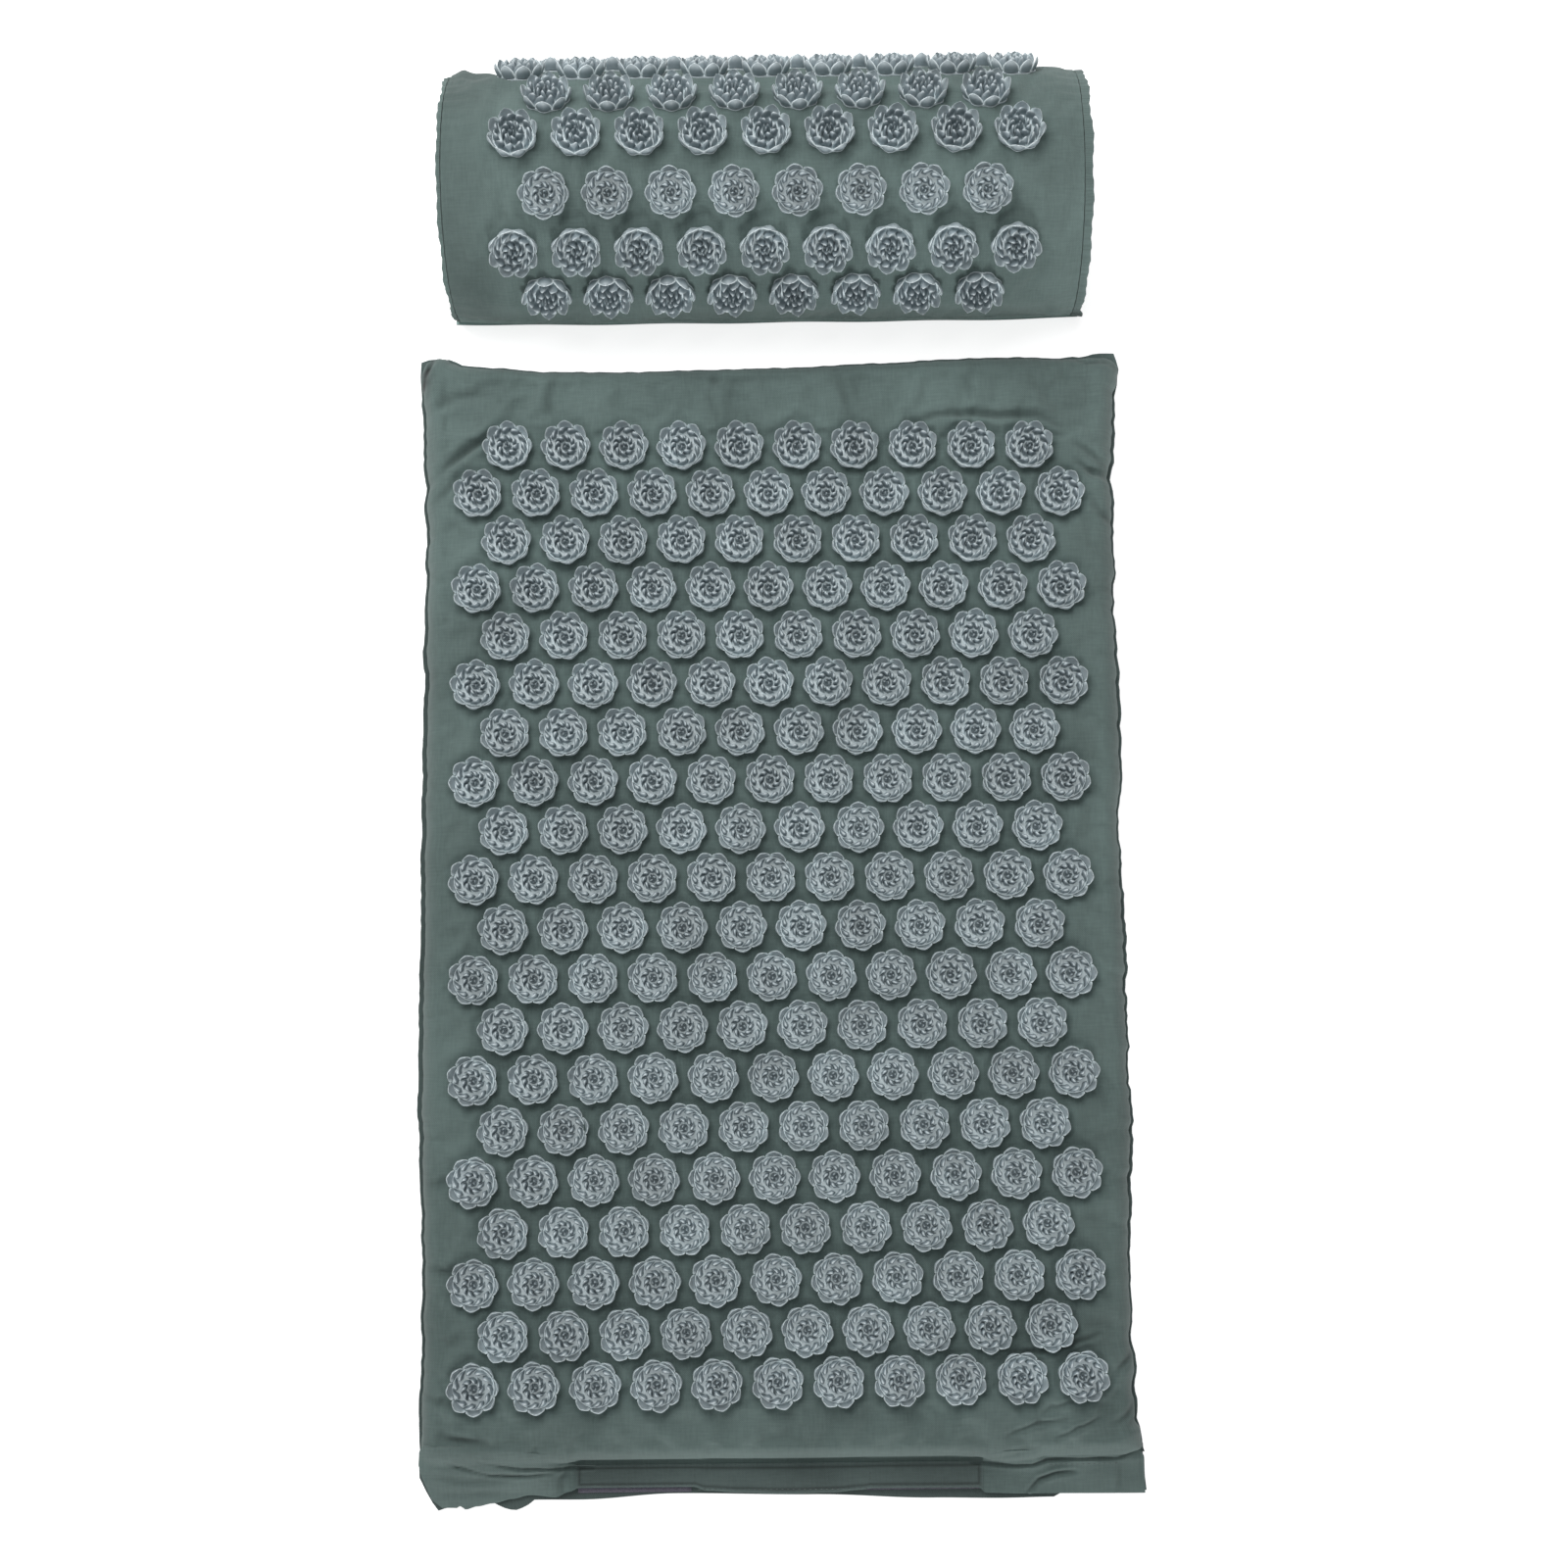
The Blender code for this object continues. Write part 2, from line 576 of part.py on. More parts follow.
def main():
    clear_scene()
    bpy.context.scene.collection.children.link(bpy.data.collections.new("acupressure_set"))
    cotton = make_material("cotton_cover", COTTON, 0.95)
    underside = make_material("cotton_underside", COTTON_UNDERSIDE, 0.95)
    plastic = make_material("spike_plastic", SPIKE_PLASTIC, 0.45)
    foam = make_material("foam", FOAM, 0.9)
    hook = make_material("hook_tape", HOOK_TAPE, 0.8)
    loop = make_material("loop_tape", LOOP_TAPE, 0.9)
    mat_top_panel(cotton, plastic)
    mat_bottom_panel(underside)
    mat_foam_core(foam)
    mat_tape = (TAPE_LENGTH, TAPE_DEPTH, TAPE_CENTRE, TAPE_FROM_ROOT)
    closure("mat", mat_closure_frame(), FLAP_HALF_WIDTH, FLAP_DEPTH, mat_tape, (cotton, hook, loop))
    pillow_wrap_panel(cotton, plastic)
    pillow_base_panel(underside)
    pillow_foam_core(foam)
    pillow_end("pillow_end_left", -1, cotton)
    pillow_end("pillow_end_right", 1, cotton)
    rear_tape = (REAR_TAPE_LENGTH, REAR_TAPE_HEIGHT, REAR_TAPE_CENTRE, REAR_TAPE_FROM_ROOT)
    closure("pillow", pillow_closure_frame(), REAR_FLAP_HALF_WIDTH, REAR_FLAP_HEIGHT, rear_tape, (cotton, hook, loop))


main()
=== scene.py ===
"""Acupressure mat and half-moon neck pillow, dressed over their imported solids.

Metres, +Z up, in the frame of the solids. The mat lies towards -Y with its closure at the foot edge, and
the pillow lies beyond its head edge. Cloth pieces are grids of points worked out with numpy, and each
carries a UV map called "cloth" whose unit is one metre of cloth, so that the weave keeps its scale
wherever the cloth bends.
"""

import math

import bpy
import numpy as np
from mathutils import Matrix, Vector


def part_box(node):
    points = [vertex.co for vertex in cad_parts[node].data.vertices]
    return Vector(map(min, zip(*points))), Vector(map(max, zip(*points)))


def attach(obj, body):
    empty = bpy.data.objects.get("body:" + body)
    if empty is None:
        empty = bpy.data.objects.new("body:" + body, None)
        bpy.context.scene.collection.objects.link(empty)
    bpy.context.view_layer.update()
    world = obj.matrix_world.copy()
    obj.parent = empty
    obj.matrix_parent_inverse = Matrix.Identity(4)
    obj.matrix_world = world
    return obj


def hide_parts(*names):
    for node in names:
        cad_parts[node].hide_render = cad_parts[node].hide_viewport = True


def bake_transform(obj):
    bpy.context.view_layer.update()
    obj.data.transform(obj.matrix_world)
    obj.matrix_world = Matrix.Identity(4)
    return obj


bl_info = {
    "name": "Acupressure Mat Set",
    "version": (1, 0, 0),
    "blender": (4, 5, 0),
    "location": "View3D > Sidebar > Mat Set",
    "description": "Covers, foam, tapes and lotus spike discs of an acupressure mat and its neck pillow",
    "category": "Object",
}

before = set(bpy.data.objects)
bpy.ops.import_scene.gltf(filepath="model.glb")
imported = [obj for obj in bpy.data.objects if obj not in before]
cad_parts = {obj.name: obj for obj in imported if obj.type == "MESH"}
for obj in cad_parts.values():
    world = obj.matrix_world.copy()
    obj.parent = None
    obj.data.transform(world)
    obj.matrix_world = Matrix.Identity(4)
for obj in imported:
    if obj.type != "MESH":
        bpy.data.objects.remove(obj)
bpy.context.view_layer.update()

MM = 0.001
ROOT = "mat_and_pillow"
MAT_LIP = "mat_closure"
PILLOW_LIP = "pillow_closure"

# Places that the solids give
CORE_LOW, CORE_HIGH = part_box("mat_foam_core")
TOP_LOW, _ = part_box("mat_top_panel")
_, LIP_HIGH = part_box("mat_closure_flap")
BASE_LOW, BASE_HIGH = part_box("pillow_base_panel")
PILLOW_CORE_LOW, PILLOW_CORE_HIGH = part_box("pillow_foam_core")

FOOT_Y = TOP_LOW.y
RIM_Z = TOP_LOW.z
HALF_WIDTH = CORE_HIGH.x + (CORE_LOW.y - FOOT_Y)
HEAD_Y = CORE_HIGH.y + (CORE_LOW.y - FOOT_Y)
CLOTH = 1.2 * MM
# The flat panels under the mat and the pillow are a little thinner, so that they end just over the floor
PANEL = CLOTH * 0.95
GAP = 0.3 * MM


# Sizes and colours that a user would change


def length(name, description, default):
    return bpy.props.FloatProperty(name=name, description=description, default=default, unit="LENGTH", min=0)


def colour(name, description, default):
    """A colour kept as its sRGB hex value."""
    return bpy.props.StringProperty(name=name, description=description, default=default)


class MatSetSizes(bpy.types.PropertyGroup):
    shoulder: length("Mat shoulder", "Width over which the mat's cloth rises at its sides", 0.010)
    rise: length("Mat rise", "Height of the mat's cloth over its rim", 0.0215)
    crown: length("Mat crown", "How far the mat bulges in its middle", 0.002)
    column_pitch: length("Disc spacing", "Distance between discs in a row of the mat", 0.035)
    row_pitch: length("Row spacing", "Distance between the mat's rows of discs", 0.0291)
    first_row: length("First row", "Distance of the mat's first row of discs from its head edge", 0.0573)
    disc_radius: length("Disc radius", "Radius over the tips of a disc's outer petals", 0.015)
    petal_height: length("Petal height", "Height of a disc's petals over the cloth", 0.0098)
    pillow_radius: length("Pillow radius", "Radius of the pillow's dome", 0.075)
    pillow_centre: length("Dome centre", "Height of the dome's centre over the floor", 0.023)
    pillow_half_length: length("Pillow half length", "Half the pillow's length between its end seams", 0.188)
    pillow_pitch: length("Pillow disc spacing", "Distance between discs in a row of the pillow", 0.0371)
    stitch_pitch: length("Stitch pitch", "Distance between two stitches of a seam", 0.0032)


class MatSetColours(bpy.types.PropertyGroup):
    cotton: colour("Cotton cover", "Dyed cotton of the covers", "#5F706D")
    cotton_dark: colour("Cotton underside", "Dyed cotton of the undersides and turned edges", "#4D5A58")
    spike: colour("Spike plastic", "Moulded plastic of the lotus discs", "#89969C")
    # The spike edge colour is painted light, for light that comes through the thin plastic, and the spike
    # hollow colour is painted shade between the spikes
    spike_edge_light: colour("Spike edges", "Thin edges and plate, where light comes through", "#E4EEF0")
    spike_hollow_shade: colour("Spike hollows", "Plastic in the hollows between the spikes", "#56636A")
    foam: colour("Foam", "Foam of the mat and the pillow", "#D6D0C4")
    hook: colour("Hook tape", "Hook tape of the closures", "#4A4C58")
    loop: colour("Loop tape", "Loop tape of the closures", "#5A5863")
    thread: colour("Thread", "Sewing thread of the hems", "#3C4644")


# Materials


def linear_rgba(hex_value):
    """The linear colour of an sRGB hex value, by the sRGB transfer curve."""
    levels = [int(hex_value[i : i + 2], 16) / 255 for i in (1, 3, 5)]
    return (*[v / 12.92 if v <= 0.04045 else ((v + 0.055) / 1.055) ** 2.4 for v in levels], 1)


def shade(hex_value, share):
    """The linear colour of a hex value, made brighter or darker by a share."""
    rgba = linear_rgba(hex_value)
    return (*[min(1, v * share) for v in rgba[:3]], 1)


def add_node(tree, kind, inputs=None, **settings):
    """Adds a node with its settings, and sets or links its inputs."""
    made = tree.nodes.new(kind)
    for name, value in settings.items():
        setattr(made, name, value)
    for key, value in (inputs or {}).items():
        if isinstance(value, bpy.types.NodeSocket):
            tree.links.new(value, made.inputs[key])
        else:
            made.inputs[key].default_value = value
    return made


def new_material(name, roughness, **shader_settings):
    """A material with one Principled shader, and its constant sockets set."""
    material = bpy.data.materials.new(name)
    material.use_nodes = True
    shader = material.node_tree.nodes["Principled BSDF"]
    shader.inputs["Roughness"].default_value = roughness
    for socket, value in shader_settings.items():
        shader.inputs[socket.replace("_", " ")].default_value = value
    return material, material.node_tree, shader


def woven_cotton(name, hex_value):
    """Plain-woven cotton canvas, piece-dyed and matt.

    The eye sees a fine grid of warp and weft, faint streaks where a thread is thicker, and a slow change
    of tone. Its threads are 0.5 mm apart on the real cloth, too fine for a picture of the whole set, so
    the weave is drawn 1.1 mm apart. The wear_and_painted_light attribute makes the cloth lighter where
    it is rubbed or raw, and it also carries painted light and shade: darker in creases, folds and stitched
    lines, where shade falls, darker towards the mat's foot, where less light falls, and lighter along the
    pillow's foot, the front of its base and the mat's underside at its head, where light falls.
    """
    thread_pitch = 1.1 * MM
    material, tree, shader = new_material(
        name, 0.92, Sheen_Weight=0.12, Sheen_Roughness=0.6, Specular_IOR_Level=0.25
    )
    cloth = add_node(tree, "ShaderNodeUVMap", uv_map="cloth").outputs["UV"]
    axes = add_node(tree, "ShaderNodeSeparateXYZ", {"Vector": cloth})
    waves = []
    for axis in ("X", "Y"):
        threads = {0: axes.outputs[axis], 1: 2 * math.pi / thread_pitch}
        turn = add_node(tree, "ShaderNodeMath", threads, operation="MULTIPLY").outputs[0]
        waves.append(add_node(tree, "ShaderNodeMath", {0: turn}, operation="SINE").outputs[0])
    weave = add_node(tree, "ShaderNodeMath", {0: waves[0], 1: waves[1]}, operation="MULTIPLY").outputs[0]
    slubs = []
    for stretch in ((1, 9, 1), (9, 1, 1)):
        spread = add_node(tree, "ShaderNodeMapping", {"Vector": cloth, "Scale": stretch})
        fibre = {"Vector": spread.outputs[0], "Scale": 90, "Detail": 3, "Roughness": 0.6}
        slubs.append(add_node(tree, "ShaderNodeTexNoise", fibre).outputs["Fac"])
    slub = add_node(tree, "ShaderNodeMath", {0: slubs[0], 1: slubs[1]}, operation="ADD").outputs[0]
    slow = add_node(tree, "ShaderNodeTexNoise", {"Vector": cloth, "Scale": 14, "Detail": 2}).outputs["Fac"]
    tone = add_node(tree, "ShaderNodeMath", {0: slub, 1: 0.5, 2: slow}, operation="MULTIPLY_ADD").outputs[0]
    tone = add_node(tree, "ShaderNodeMath", {0: weave, 1: 0.16, 2: tone}, operation="MULTIPLY_ADD").outputs[0]
    ramp = add_node(tree, "ShaderNodeMapRange", {"Value": tone, "From Min": 0.7, "From Max": 1.3})
    tones = {0: ramp.outputs[0], 6: shade(hex_value, 0.77), 7: shade(hex_value, 1.23)}
    dyed = add_node(tree, "ShaderNodeMix", tones, data_type="RGBA").outputs[2]
    wear_and_painted_light = add_node(tree, "ShaderNodeAttribute", attribute_name="wear_and_painted_light").outputs["Fac"]
    share = add_node(tree, "ShaderNodeMath", {0: wear_and_painted_light, 1: 1}, operation="ADD").outputs[0]
    painted_and_worn = add_node(tree, "ShaderNodeVectorMath", {0: dyed, "Scale": share}, operation="SCALE")
    tree.links.new(painted_and_worn.outputs[0], shader.inputs["Base Color"])
    threads = {0: slub, 1: 0.6, 2: weave}
    relief = add_node(tree, "ShaderNodeMath", threads, operation="MULTIPLY_ADD").outputs[0]
    bump = add_node(tree, "ShaderNodeBump", {"Strength": 0.5, "Distance": 0.12 * MM, "Height": relief})
    tree.links.new(bump.outputs[0], shader.inputs["Normal"])
    return material


def spike_plastic(hollow_shade_hex, body_hex, lit_edge_hex):
    """Moulded ABS of the lotus discs, with a satin skin.

    The eye sees thin petal edges and the plate lighter than the spikes, because light comes through them,
    dark hollows in the spikes, discs that differ a little in tone, and a soft shine. The light edges and
    plate and the dark hollows are painted light and shade: the "edge" attribute runs from 0, painted shade
    in a hollow, to 1, painted light on an edge, and a faint glow on the lightest parts is painted light
    that stands for the light that comes through.
    """
    material, tree, shader = new_material("moulded_abs_spikes", 0.42, IOR=1.54, Specular_IOR_Level=0.45)
    edge = add_node(tree, "ShaderNodeAttribute", attribute_name="edge").outputs["Fac"]
    place = add_node(tree, "ShaderNodeTexCoord").outputs["Object"]
    grain = add_node(tree, "ShaderNodeTexNoise", {"Vector": place, "Scale": 420, "Detail": 2}).outputs["Fac"]
    low = add_node(tree, "ShaderNodeMapRange", {"Value": edge, "From Min": 0, "From Max": 0.5})
    high = add_node(tree, "ShaderNodeMapRange", {"Value": edge, "From Min": 0.5, "From Max": 1})
    # Painted light and shade: the edge attribute mixes the hollows' painted shade, the body colour and the
    # edges' painted light
    shade_to_body = {0: low.outputs[0], 6: linear_rgba(hollow_shade_hex), 7: linear_rgba(body_hex)}
    body = add_node(tree, "ShaderNodeMix", shade_to_body, data_type="RGBA").outputs[2]
    body_to_lit_edge = {0: high.outputs[0], 6: body, 7: linear_rgba(lit_edge_hex)}
    mixed = add_node(tree, "ShaderNodeMix", body_to_lit_edge, data_type="RGBA").outputs[2]
    dust = {0: 0.10, 6: mixed, 7: grain}
    dusted = add_node(tree, "ShaderNodeMix", dust, data_type="RGBA", blend_type="OVERLAY").outputs[2]
    slow = add_node(tree, "ShaderNodeTexNoise", {"Vector": place, "Scale": 30, "Detail": 1}).outputs["Fac"]
    tones = {"Value": slow, "From Min": 0.3, "From Max": 0.7, "To Min": 0.86, "To Max": 1.12}
    batch = add_node(tree, "ShaderNodeMapRange", tones).outputs[0]
    toned = add_node(tree, "ShaderNodeVectorMath", {0: dusted, "Scale": batch}, operation="SCALE")
    tree.links.new(toned.outputs[0], shader.inputs["Base Color"])
    # Painted light: the lightest parts glow, though they are no lamp, for the light that comes through the
    # thin plastic
    glow = add_node(tree, "ShaderNodeMapRange", {"Value": edge, "From Min": 0.6, "To Max": 0.25})
    shader.inputs["Emission Color"].default_value = linear_rgba(lit_edge_hex)
    tree.links.new(glow.outputs[0], shader.inputs["Emission Strength"])
    bump = add_node(tree, "ShaderNodeBump", {"Strength": 0.15, "Distance": 0.05 * MM, "Height": grain})
    tree.links.new(bump.outputs[0], shader.inputs["Normal"])
    return material


def open_cell_foam(hex_value):
    """Open-cell polyurethane foam, cut from a block: pale, matt and pitted with cells 1.5 mm across."""
    material, tree, shader = new_material("open_cell_pu_foam", 0.95, Specular_IOR_Level=0.2)
    place = add_node(tree, "ShaderNodeTexCoord").outputs["Object"]
    cell = 1.5 * MM
    cells = add_node(tree, "ShaderNodeTexVoronoi", {"Vector": place, "Scale": 1 / cell}).outputs["Distance"]
    # Painted shade: the foam is darker in each cell's pit
    tones = {0: cells, 6: shade(hex_value, 0.75), 7: shade(hex_value, 1.05)}
    mixed = add_node(tree, "ShaderNodeMix", tones, data_type="RGBA")
    tree.links.new(mixed.outputs[2], shader.inputs["Base Color"])
    bump = add_node(tree, "ShaderNodeBump", {"Strength": 0.7, "Distance": 0.5 * MM, "Height": cells})
    tree.links.new(bump.outputs[0], shader.inputs["Normal"])
    return material


def pile_tape(name, hex_value, pitch, roughness):
    """Woven nylon tape with a pile of hooks or loops, which catches the light as fine specks."""
    material, tree, shader = new_material(name, roughness, Specular_IOR_Level=0.4)
    cloth = add_node(tree, "ShaderNodeUVMap", uv_map="cloth").outputs["UV"]
    tufts = {"Vector": cloth, "Scale": 1 / pitch, "Randomness": 0.55}
    pile = add_node(tree, "ShaderNodeTexVoronoi", tufts).outputs["Distance"]
    # Painted highlights and shade: the pile is lighter on each tuft and darker between the tufts
    tones = {0: pile, 6: shade(hex_value, 1.5), 7: shade(hex_value, 0.6)}
    mixed = add_node(tree, "ShaderNodeMix", tones, data_type="RGBA")
    tree.links.new(mixed.outputs[2], shader.inputs["Base Color"])
    relief = {"Strength": 0.8, "Distance": 0.3 * MM, "Height": pile}
    bump = add_node(tree, "ShaderNodeBump", relief, invert=True)
    tree.links.new(bump.outputs[0], shader.inputs["Normal"])
    return material


def sewing_thread(hex_value):
    """Spun polyester sewing thread: two plies twisted together, with a slight shine."""
    material, tree, shader = new_material("spun_polyester_thread", 0.6)
    place = add_node(tree, "ShaderNodeTexCoord").outputs["Object"]
    twist = {"Vector": place, "Scale": 700}
    ply = add_node(tree, "ShaderNodeTexWave", twist, wave_type="BANDS", bands_direction="DIAGONAL")
    tones = {0: ply.outputs["Fac"], 6: shade(hex_value, 0.8), 7: shade(hex_value, 1.3)}
    mixed = add_node(tree, "ShaderNodeMix", tones, data_type="RGBA")
    tree.links.new(mixed.outputs[2], shader.inputs["Base Color"])
    return material


def material_of(context, name):
    """The set's material of that name, made when it is first asked for."""
    if name in bpy.data.materials:
        return bpy.data.materials[name]
    colours = context.scene.mat_set_colours
    if name == "dyed_cotton_canvas":
        return woven_cotton(name, colours.cotton)
    if name == "dyed_cotton_underside":
        return woven_cotton(name, colours.cotton_dark)
    if name == "moulded_abs_spikes":
        return spike_plastic(colours.spike_hollow_shade, colours.spike, colours.spike_edge_light)
    if name == "open_cell_pu_foam":
        return open_cell_foam(colours.foam)
    if name == "nylon_hook_tape":
        return pile_tape(name, colours.hook, pitch=1.3 * MM, roughness=0.55)
    if name == "nylon_loop_tape":
        return pile_tape(name, colours.loop, pitch=0.9 * MM, roughness=0.9)
    return sewing_thread(colours.thread)


# Meshes from arrays


def fan_volume(points, faces):
    """Six times the volume inside faces of one count of corners, negative where they face inwards."""
    first, *others = (points[faces[:, i]] for i in range(faces.shape[1]))
    return np.einsum("ij,ij->", first, sum(np.cross(b, c) for b, c in zip(others, others[1:])))


def turned_out(points, faces):
    """The faces, all turned round if the closed surface they make has a negative volume."""
    return faces if fan_volume(points, faces) > 0 else faces[:, ::-1]


def new_piece(context, name, points, faces, material, body, uv=None, attributes=None, crease=40):
    """A mesh object from arrays, with its material, UV map, vertex attributes and body."""
    mesh = bpy.data.meshes.new(name)
    mesh.from_pydata(points.tolist(), [], [list(face) for face in faces])
    if mesh.validate():
        raise RuntimeError(f"{name} has faces that aren't valid")
    mesh.materials.append(material_of(context, material))
    loops = np.empty(len(mesh.loops), np.int32)
    mesh.loops.foreach_get("vertex_index", loops)
    if uv is not None:
        layer = mesh.uv_layers.new(name="cloth")
        layer.data.foreach_set("uv", uv[loops].astype(np.float32).ravel())
    for key, values in (attributes or {}).items():
        mesh.attributes.new(key, "FLOAT", "POINT").data.foreach_set("value", values.astype(np.float32))
    mesh.shade_smooth()
    mesh.set_sharp_from_angle(angle=math.radians(crease))
    piece = bpy.data.objects.new(name, mesh)
    context.scene.collection.objects.link(piece)
    if body:
        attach(piece, body)
    return piece


def grid_quads(rows, columns, joined=False):
    """The quads of a grid of vertices numbered row by row, its last column joined to its first or not."""
    i = np.arange(rows - 1)[:, None]
    j = np.arange(columns if joined else columns - 1)[None, :]
    here, above = i * columns, (i + 1) * columns
    after = (j + 1) % columns
    corners = np.broadcast_arrays(here + j, above + j, above + after, here + after)
    return np.stack(corners, -1).reshape(-1, 4)


def grid_normals(points):
    """Unit normals of a grid of points, from the cross product of its row and column differences."""
    normals = np.cross(np.gradient(points, axis=0), np.gradient(points, axis=1))
    return normals / np.maximum(np.linalg.norm(normals, axis=-1, keepdims=True), 1e-12)


def border(rows, columns):
    """The vertex numbers round a grid's edge, in order."""
    numbers = np.arange(rows * columns).reshape(rows, columns)
    return np.concatenate([numbers[0, :-1], numbers[:-1, -1], numbers[-1, :0:-1], numbers[:0:-1, 0]])


def closed_cloth(outer, inner):
    """A closed cloth from the grids of its outer and its inner face: its vertices and its quads."""
    rows, columns, _ = outer.shape
    count = rows * columns
    face = grid_quads(rows, columns)
    edge = border(rows, columns)
    ahead = np.roll(edge, -1)
    wall = np.stack([edge, ahead, ahead + count, edge + count], 1)
    vertices = np.concatenate([outer.reshape(-1, 3), inner.reshape(-1, 3)])
    faces = np.concatenate([face, face[:, ::-1] + count, wall])
    return vertices, turned_out(vertices, faces)


def cloth_piece(context, name, grid, thickness, plan, wear_and_painted_light, material, body, crease):
    """A closed cloth piece: its inner face lies a thickness inside its grid, along the grid's normals.

    The plan is its UV map, for both faces. Only the outer face is given the wear_and_painted_light
    values, which paint light and shade as well as rubbing.
    """
    points, faces = closed_cloth(grid, grid - grid_normals(grid) * thickness)
    uv = np.concatenate([plan.reshape(-1, 2)] * 2)
    painted_and_worn = {"wear_and_painted_light": np.concatenate([wear_and_painted_light.ravel(), np.zeros(wear_and_painted_light.size)])}
    return new_piece(context, name, points, faces, material, body, uv, painted_and_worn, crease)


def tube_between(rings):
    """A closed solid through rings of equal counts, with a flat face on each end."""
    count, around, _ = rings.shape
    points = rings.reshape(-1, 3)
    quads = grid_quads(count, around, joined=True)
    ends = [list(range(around))[::-1], list(range((count - 1) * around, count * around))]
    turn = -1 if fan_volume(points - rings[0].mean(0), quads) < 0 else 1
    return points, [face[::turn] for face in [*quads.tolist(), *ends]]


# Cloth shapes


def wander(x, y, wavelength, seed):
    """Smooth noise, mostly from -1 to 1: eight sine waves with seeded directions, lengths and phases."""
    draws = np.random.default_rng(seed)
    total = 0
    for _ in range(8):
        turn, stretch, phase = draws.random(3) * (2 * math.pi, 0.8, 2 * math.pi)
        reach = 2 * math.pi / (wavelength * (0.6 + stretch))
        total = total + np.sin((x * math.cos(turn) + y * math.sin(turn)) * reach + phase)
    return total / 8 * 1.6


def smooth_step(value, low, high):
    """0 below low, 1 above high and a smooth cubic between."""
    share = np.clip((value - low) / (high - low), 0, 1)
    return share * share * (3 - 2 * share)


def bell(value, middle, width):
    """A bell curve: 1 at its middle, and 1/e at a width to either side of it."""
    return np.exp(-(((value - middle) / width) ** 2))


def settled(context, name, points, held, growth, pressure, most):
    """How far a grid of cloth moves when Blender's cloth simulation lets it settle.

    The cloth is a little larger than its grid, by the growth, and is held at the discs and seams, so it
    buckles between them. A light pressure stands for the foam under it, and no point moves further than
    most.
    """
    mesh = bpy.data.meshes.new(name)
    mesh.from_pydata(points.reshape(-1, 3).tolist(), [], grid_quads(*held.shape).tolist())
    piece = bpy.data.objects.new(name, mesh)
    context.scene.collection.objects.link(piece)
    group = piece.vertex_groups.new(name="held")
    group.add(np.flatnonzero(held.ravel()).tolist(), 1, "REPLACE")
    cloth = piece.modifiers.new("cloth", "CLOTH")
    settings = cloth.settings
    settings.quality = 6
    settings.mass = 0.3
    settings.tension_stiffness = 18
    settings.compression_stiffness = 18
    settings.shear_stiffness = 6
    settings.bending_stiffness = 0.4
    settings.shrink_min = -growth
    settings.use_pressure = True
    settings.uniform_pressure_force = pressure
    settings.effector_weights.gravity = 0
    settings.vertex_group_mass = "held"
    cloth.collision_settings.use_collision = False
    for step in range(1, 21):
        context.scene.frame_set(step)
    rested = piece.evaluated_get(context.evaluated_depsgraph_get()).data
    found = np.empty(len(rested.vertices) * 3, np.float32)
    rested.vertices.foreach_get("co", found)
    moved = found.reshape(points.shape) - points
    context.scene.frame_set(1)
    bpy.data.objects.remove(piece)
    far = np.linalg.norm(moved, axis=-1, keepdims=True)
    if not np.isfinite(far).all():
        raise RuntimeError(f"the cloth simulation of {name} went wrong")
    return moved * np.minimum(1, most / np.maximum(far, 1e-9))


def resampled(values, rows, columns):
    """Values on an even grid, read between its points at fractional row and column numbers."""
    i = np.clip(rows, 0, values.shape[0] - 1.001)
    j = np.clip(columns, 0, values.shape[1] - 1.001)
    low_i, low_j = i.astype(int), j.astype(int)
    a, b = (i - low_i)[..., None], (j - low_j)[..., None]
    near = values[low_i, low_j] * (1 - b) + values[low_i, low_j + 1] * b
    far = values[low_i + 1, low_j] * (1 - b) + values[low_i + 1, low_j + 1] * b
    return near * (1 - a) + far * a


def edge_curve(at, stations, offsets):
    """An edge's offset in metres, through stations in millimetres, softened by cosine steps between them."""
    stations, offsets = np.array(stations) * MM, np.array(offsets) * MM
    i = np.clip(np.searchsorted(stations, at) - 1, 0, len(stations) - 2)
    share = np.clip((at - stations[i]) / (stations[i + 1] - stations[i]), 0, 1)
    return offsets[i] + (offsets[i + 1] - offsets[i]) * (1 - np.cos(math.pi * share)) / 2


def nearest(x, y, centres):
    """The distance from each point to the nearest of the centres, and that centre's number."""
    away = np.hypot(x[..., None] - centres[:, 0], y[..., None] - centres[:, 1])
    return away.min(-1), away.argmin(-1)


def crease(x, y, path, depth, width):
    """The height that a crease adds along a path.

    It is a valley with a soft ridge on each side, both bell-shaped across the path, and it fades at both
    ends.
    """
    path = np.array(path) * MM
    best = np.full(x.shape, np.inf)
    along = np.zeros(x.shape)
    lengths = np.linalg.norm(np.diff(path, axis=0), axis=1)
    done = np.concatenate([[0], np.cumsum(lengths)]) / lengths.sum()
    for k, (start, end) in enumerate(zip(path[:-1], path[1:])):
        way = end - start
        share = np.clip(((x - start[0]) * way[0] + (y - start[1]) * way[1]) / (way @ way), 0, 1)
        away = np.hypot(x - start[0] - share * way[0], y - start[1] - share * way[1])
        nearer = away < best
        best = np.where(nearer, away, best)
        along = np.where(nearer, done[k] + share * (done[k + 1] - done[k]), along)
    fade = np.sin(math.pi * (0.06 + 0.88 * along)) ** 0.7
    across = best / (width * MM)
    return depth * MM * fade * (0.5 * bell(across, 1.9, 1) - bell(across, 0, 1))


def creases(x, y, table):
    """The height that all the creases of a table add."""
    return sum(crease(x, y, path, depth, width) for path, depth, width in table)


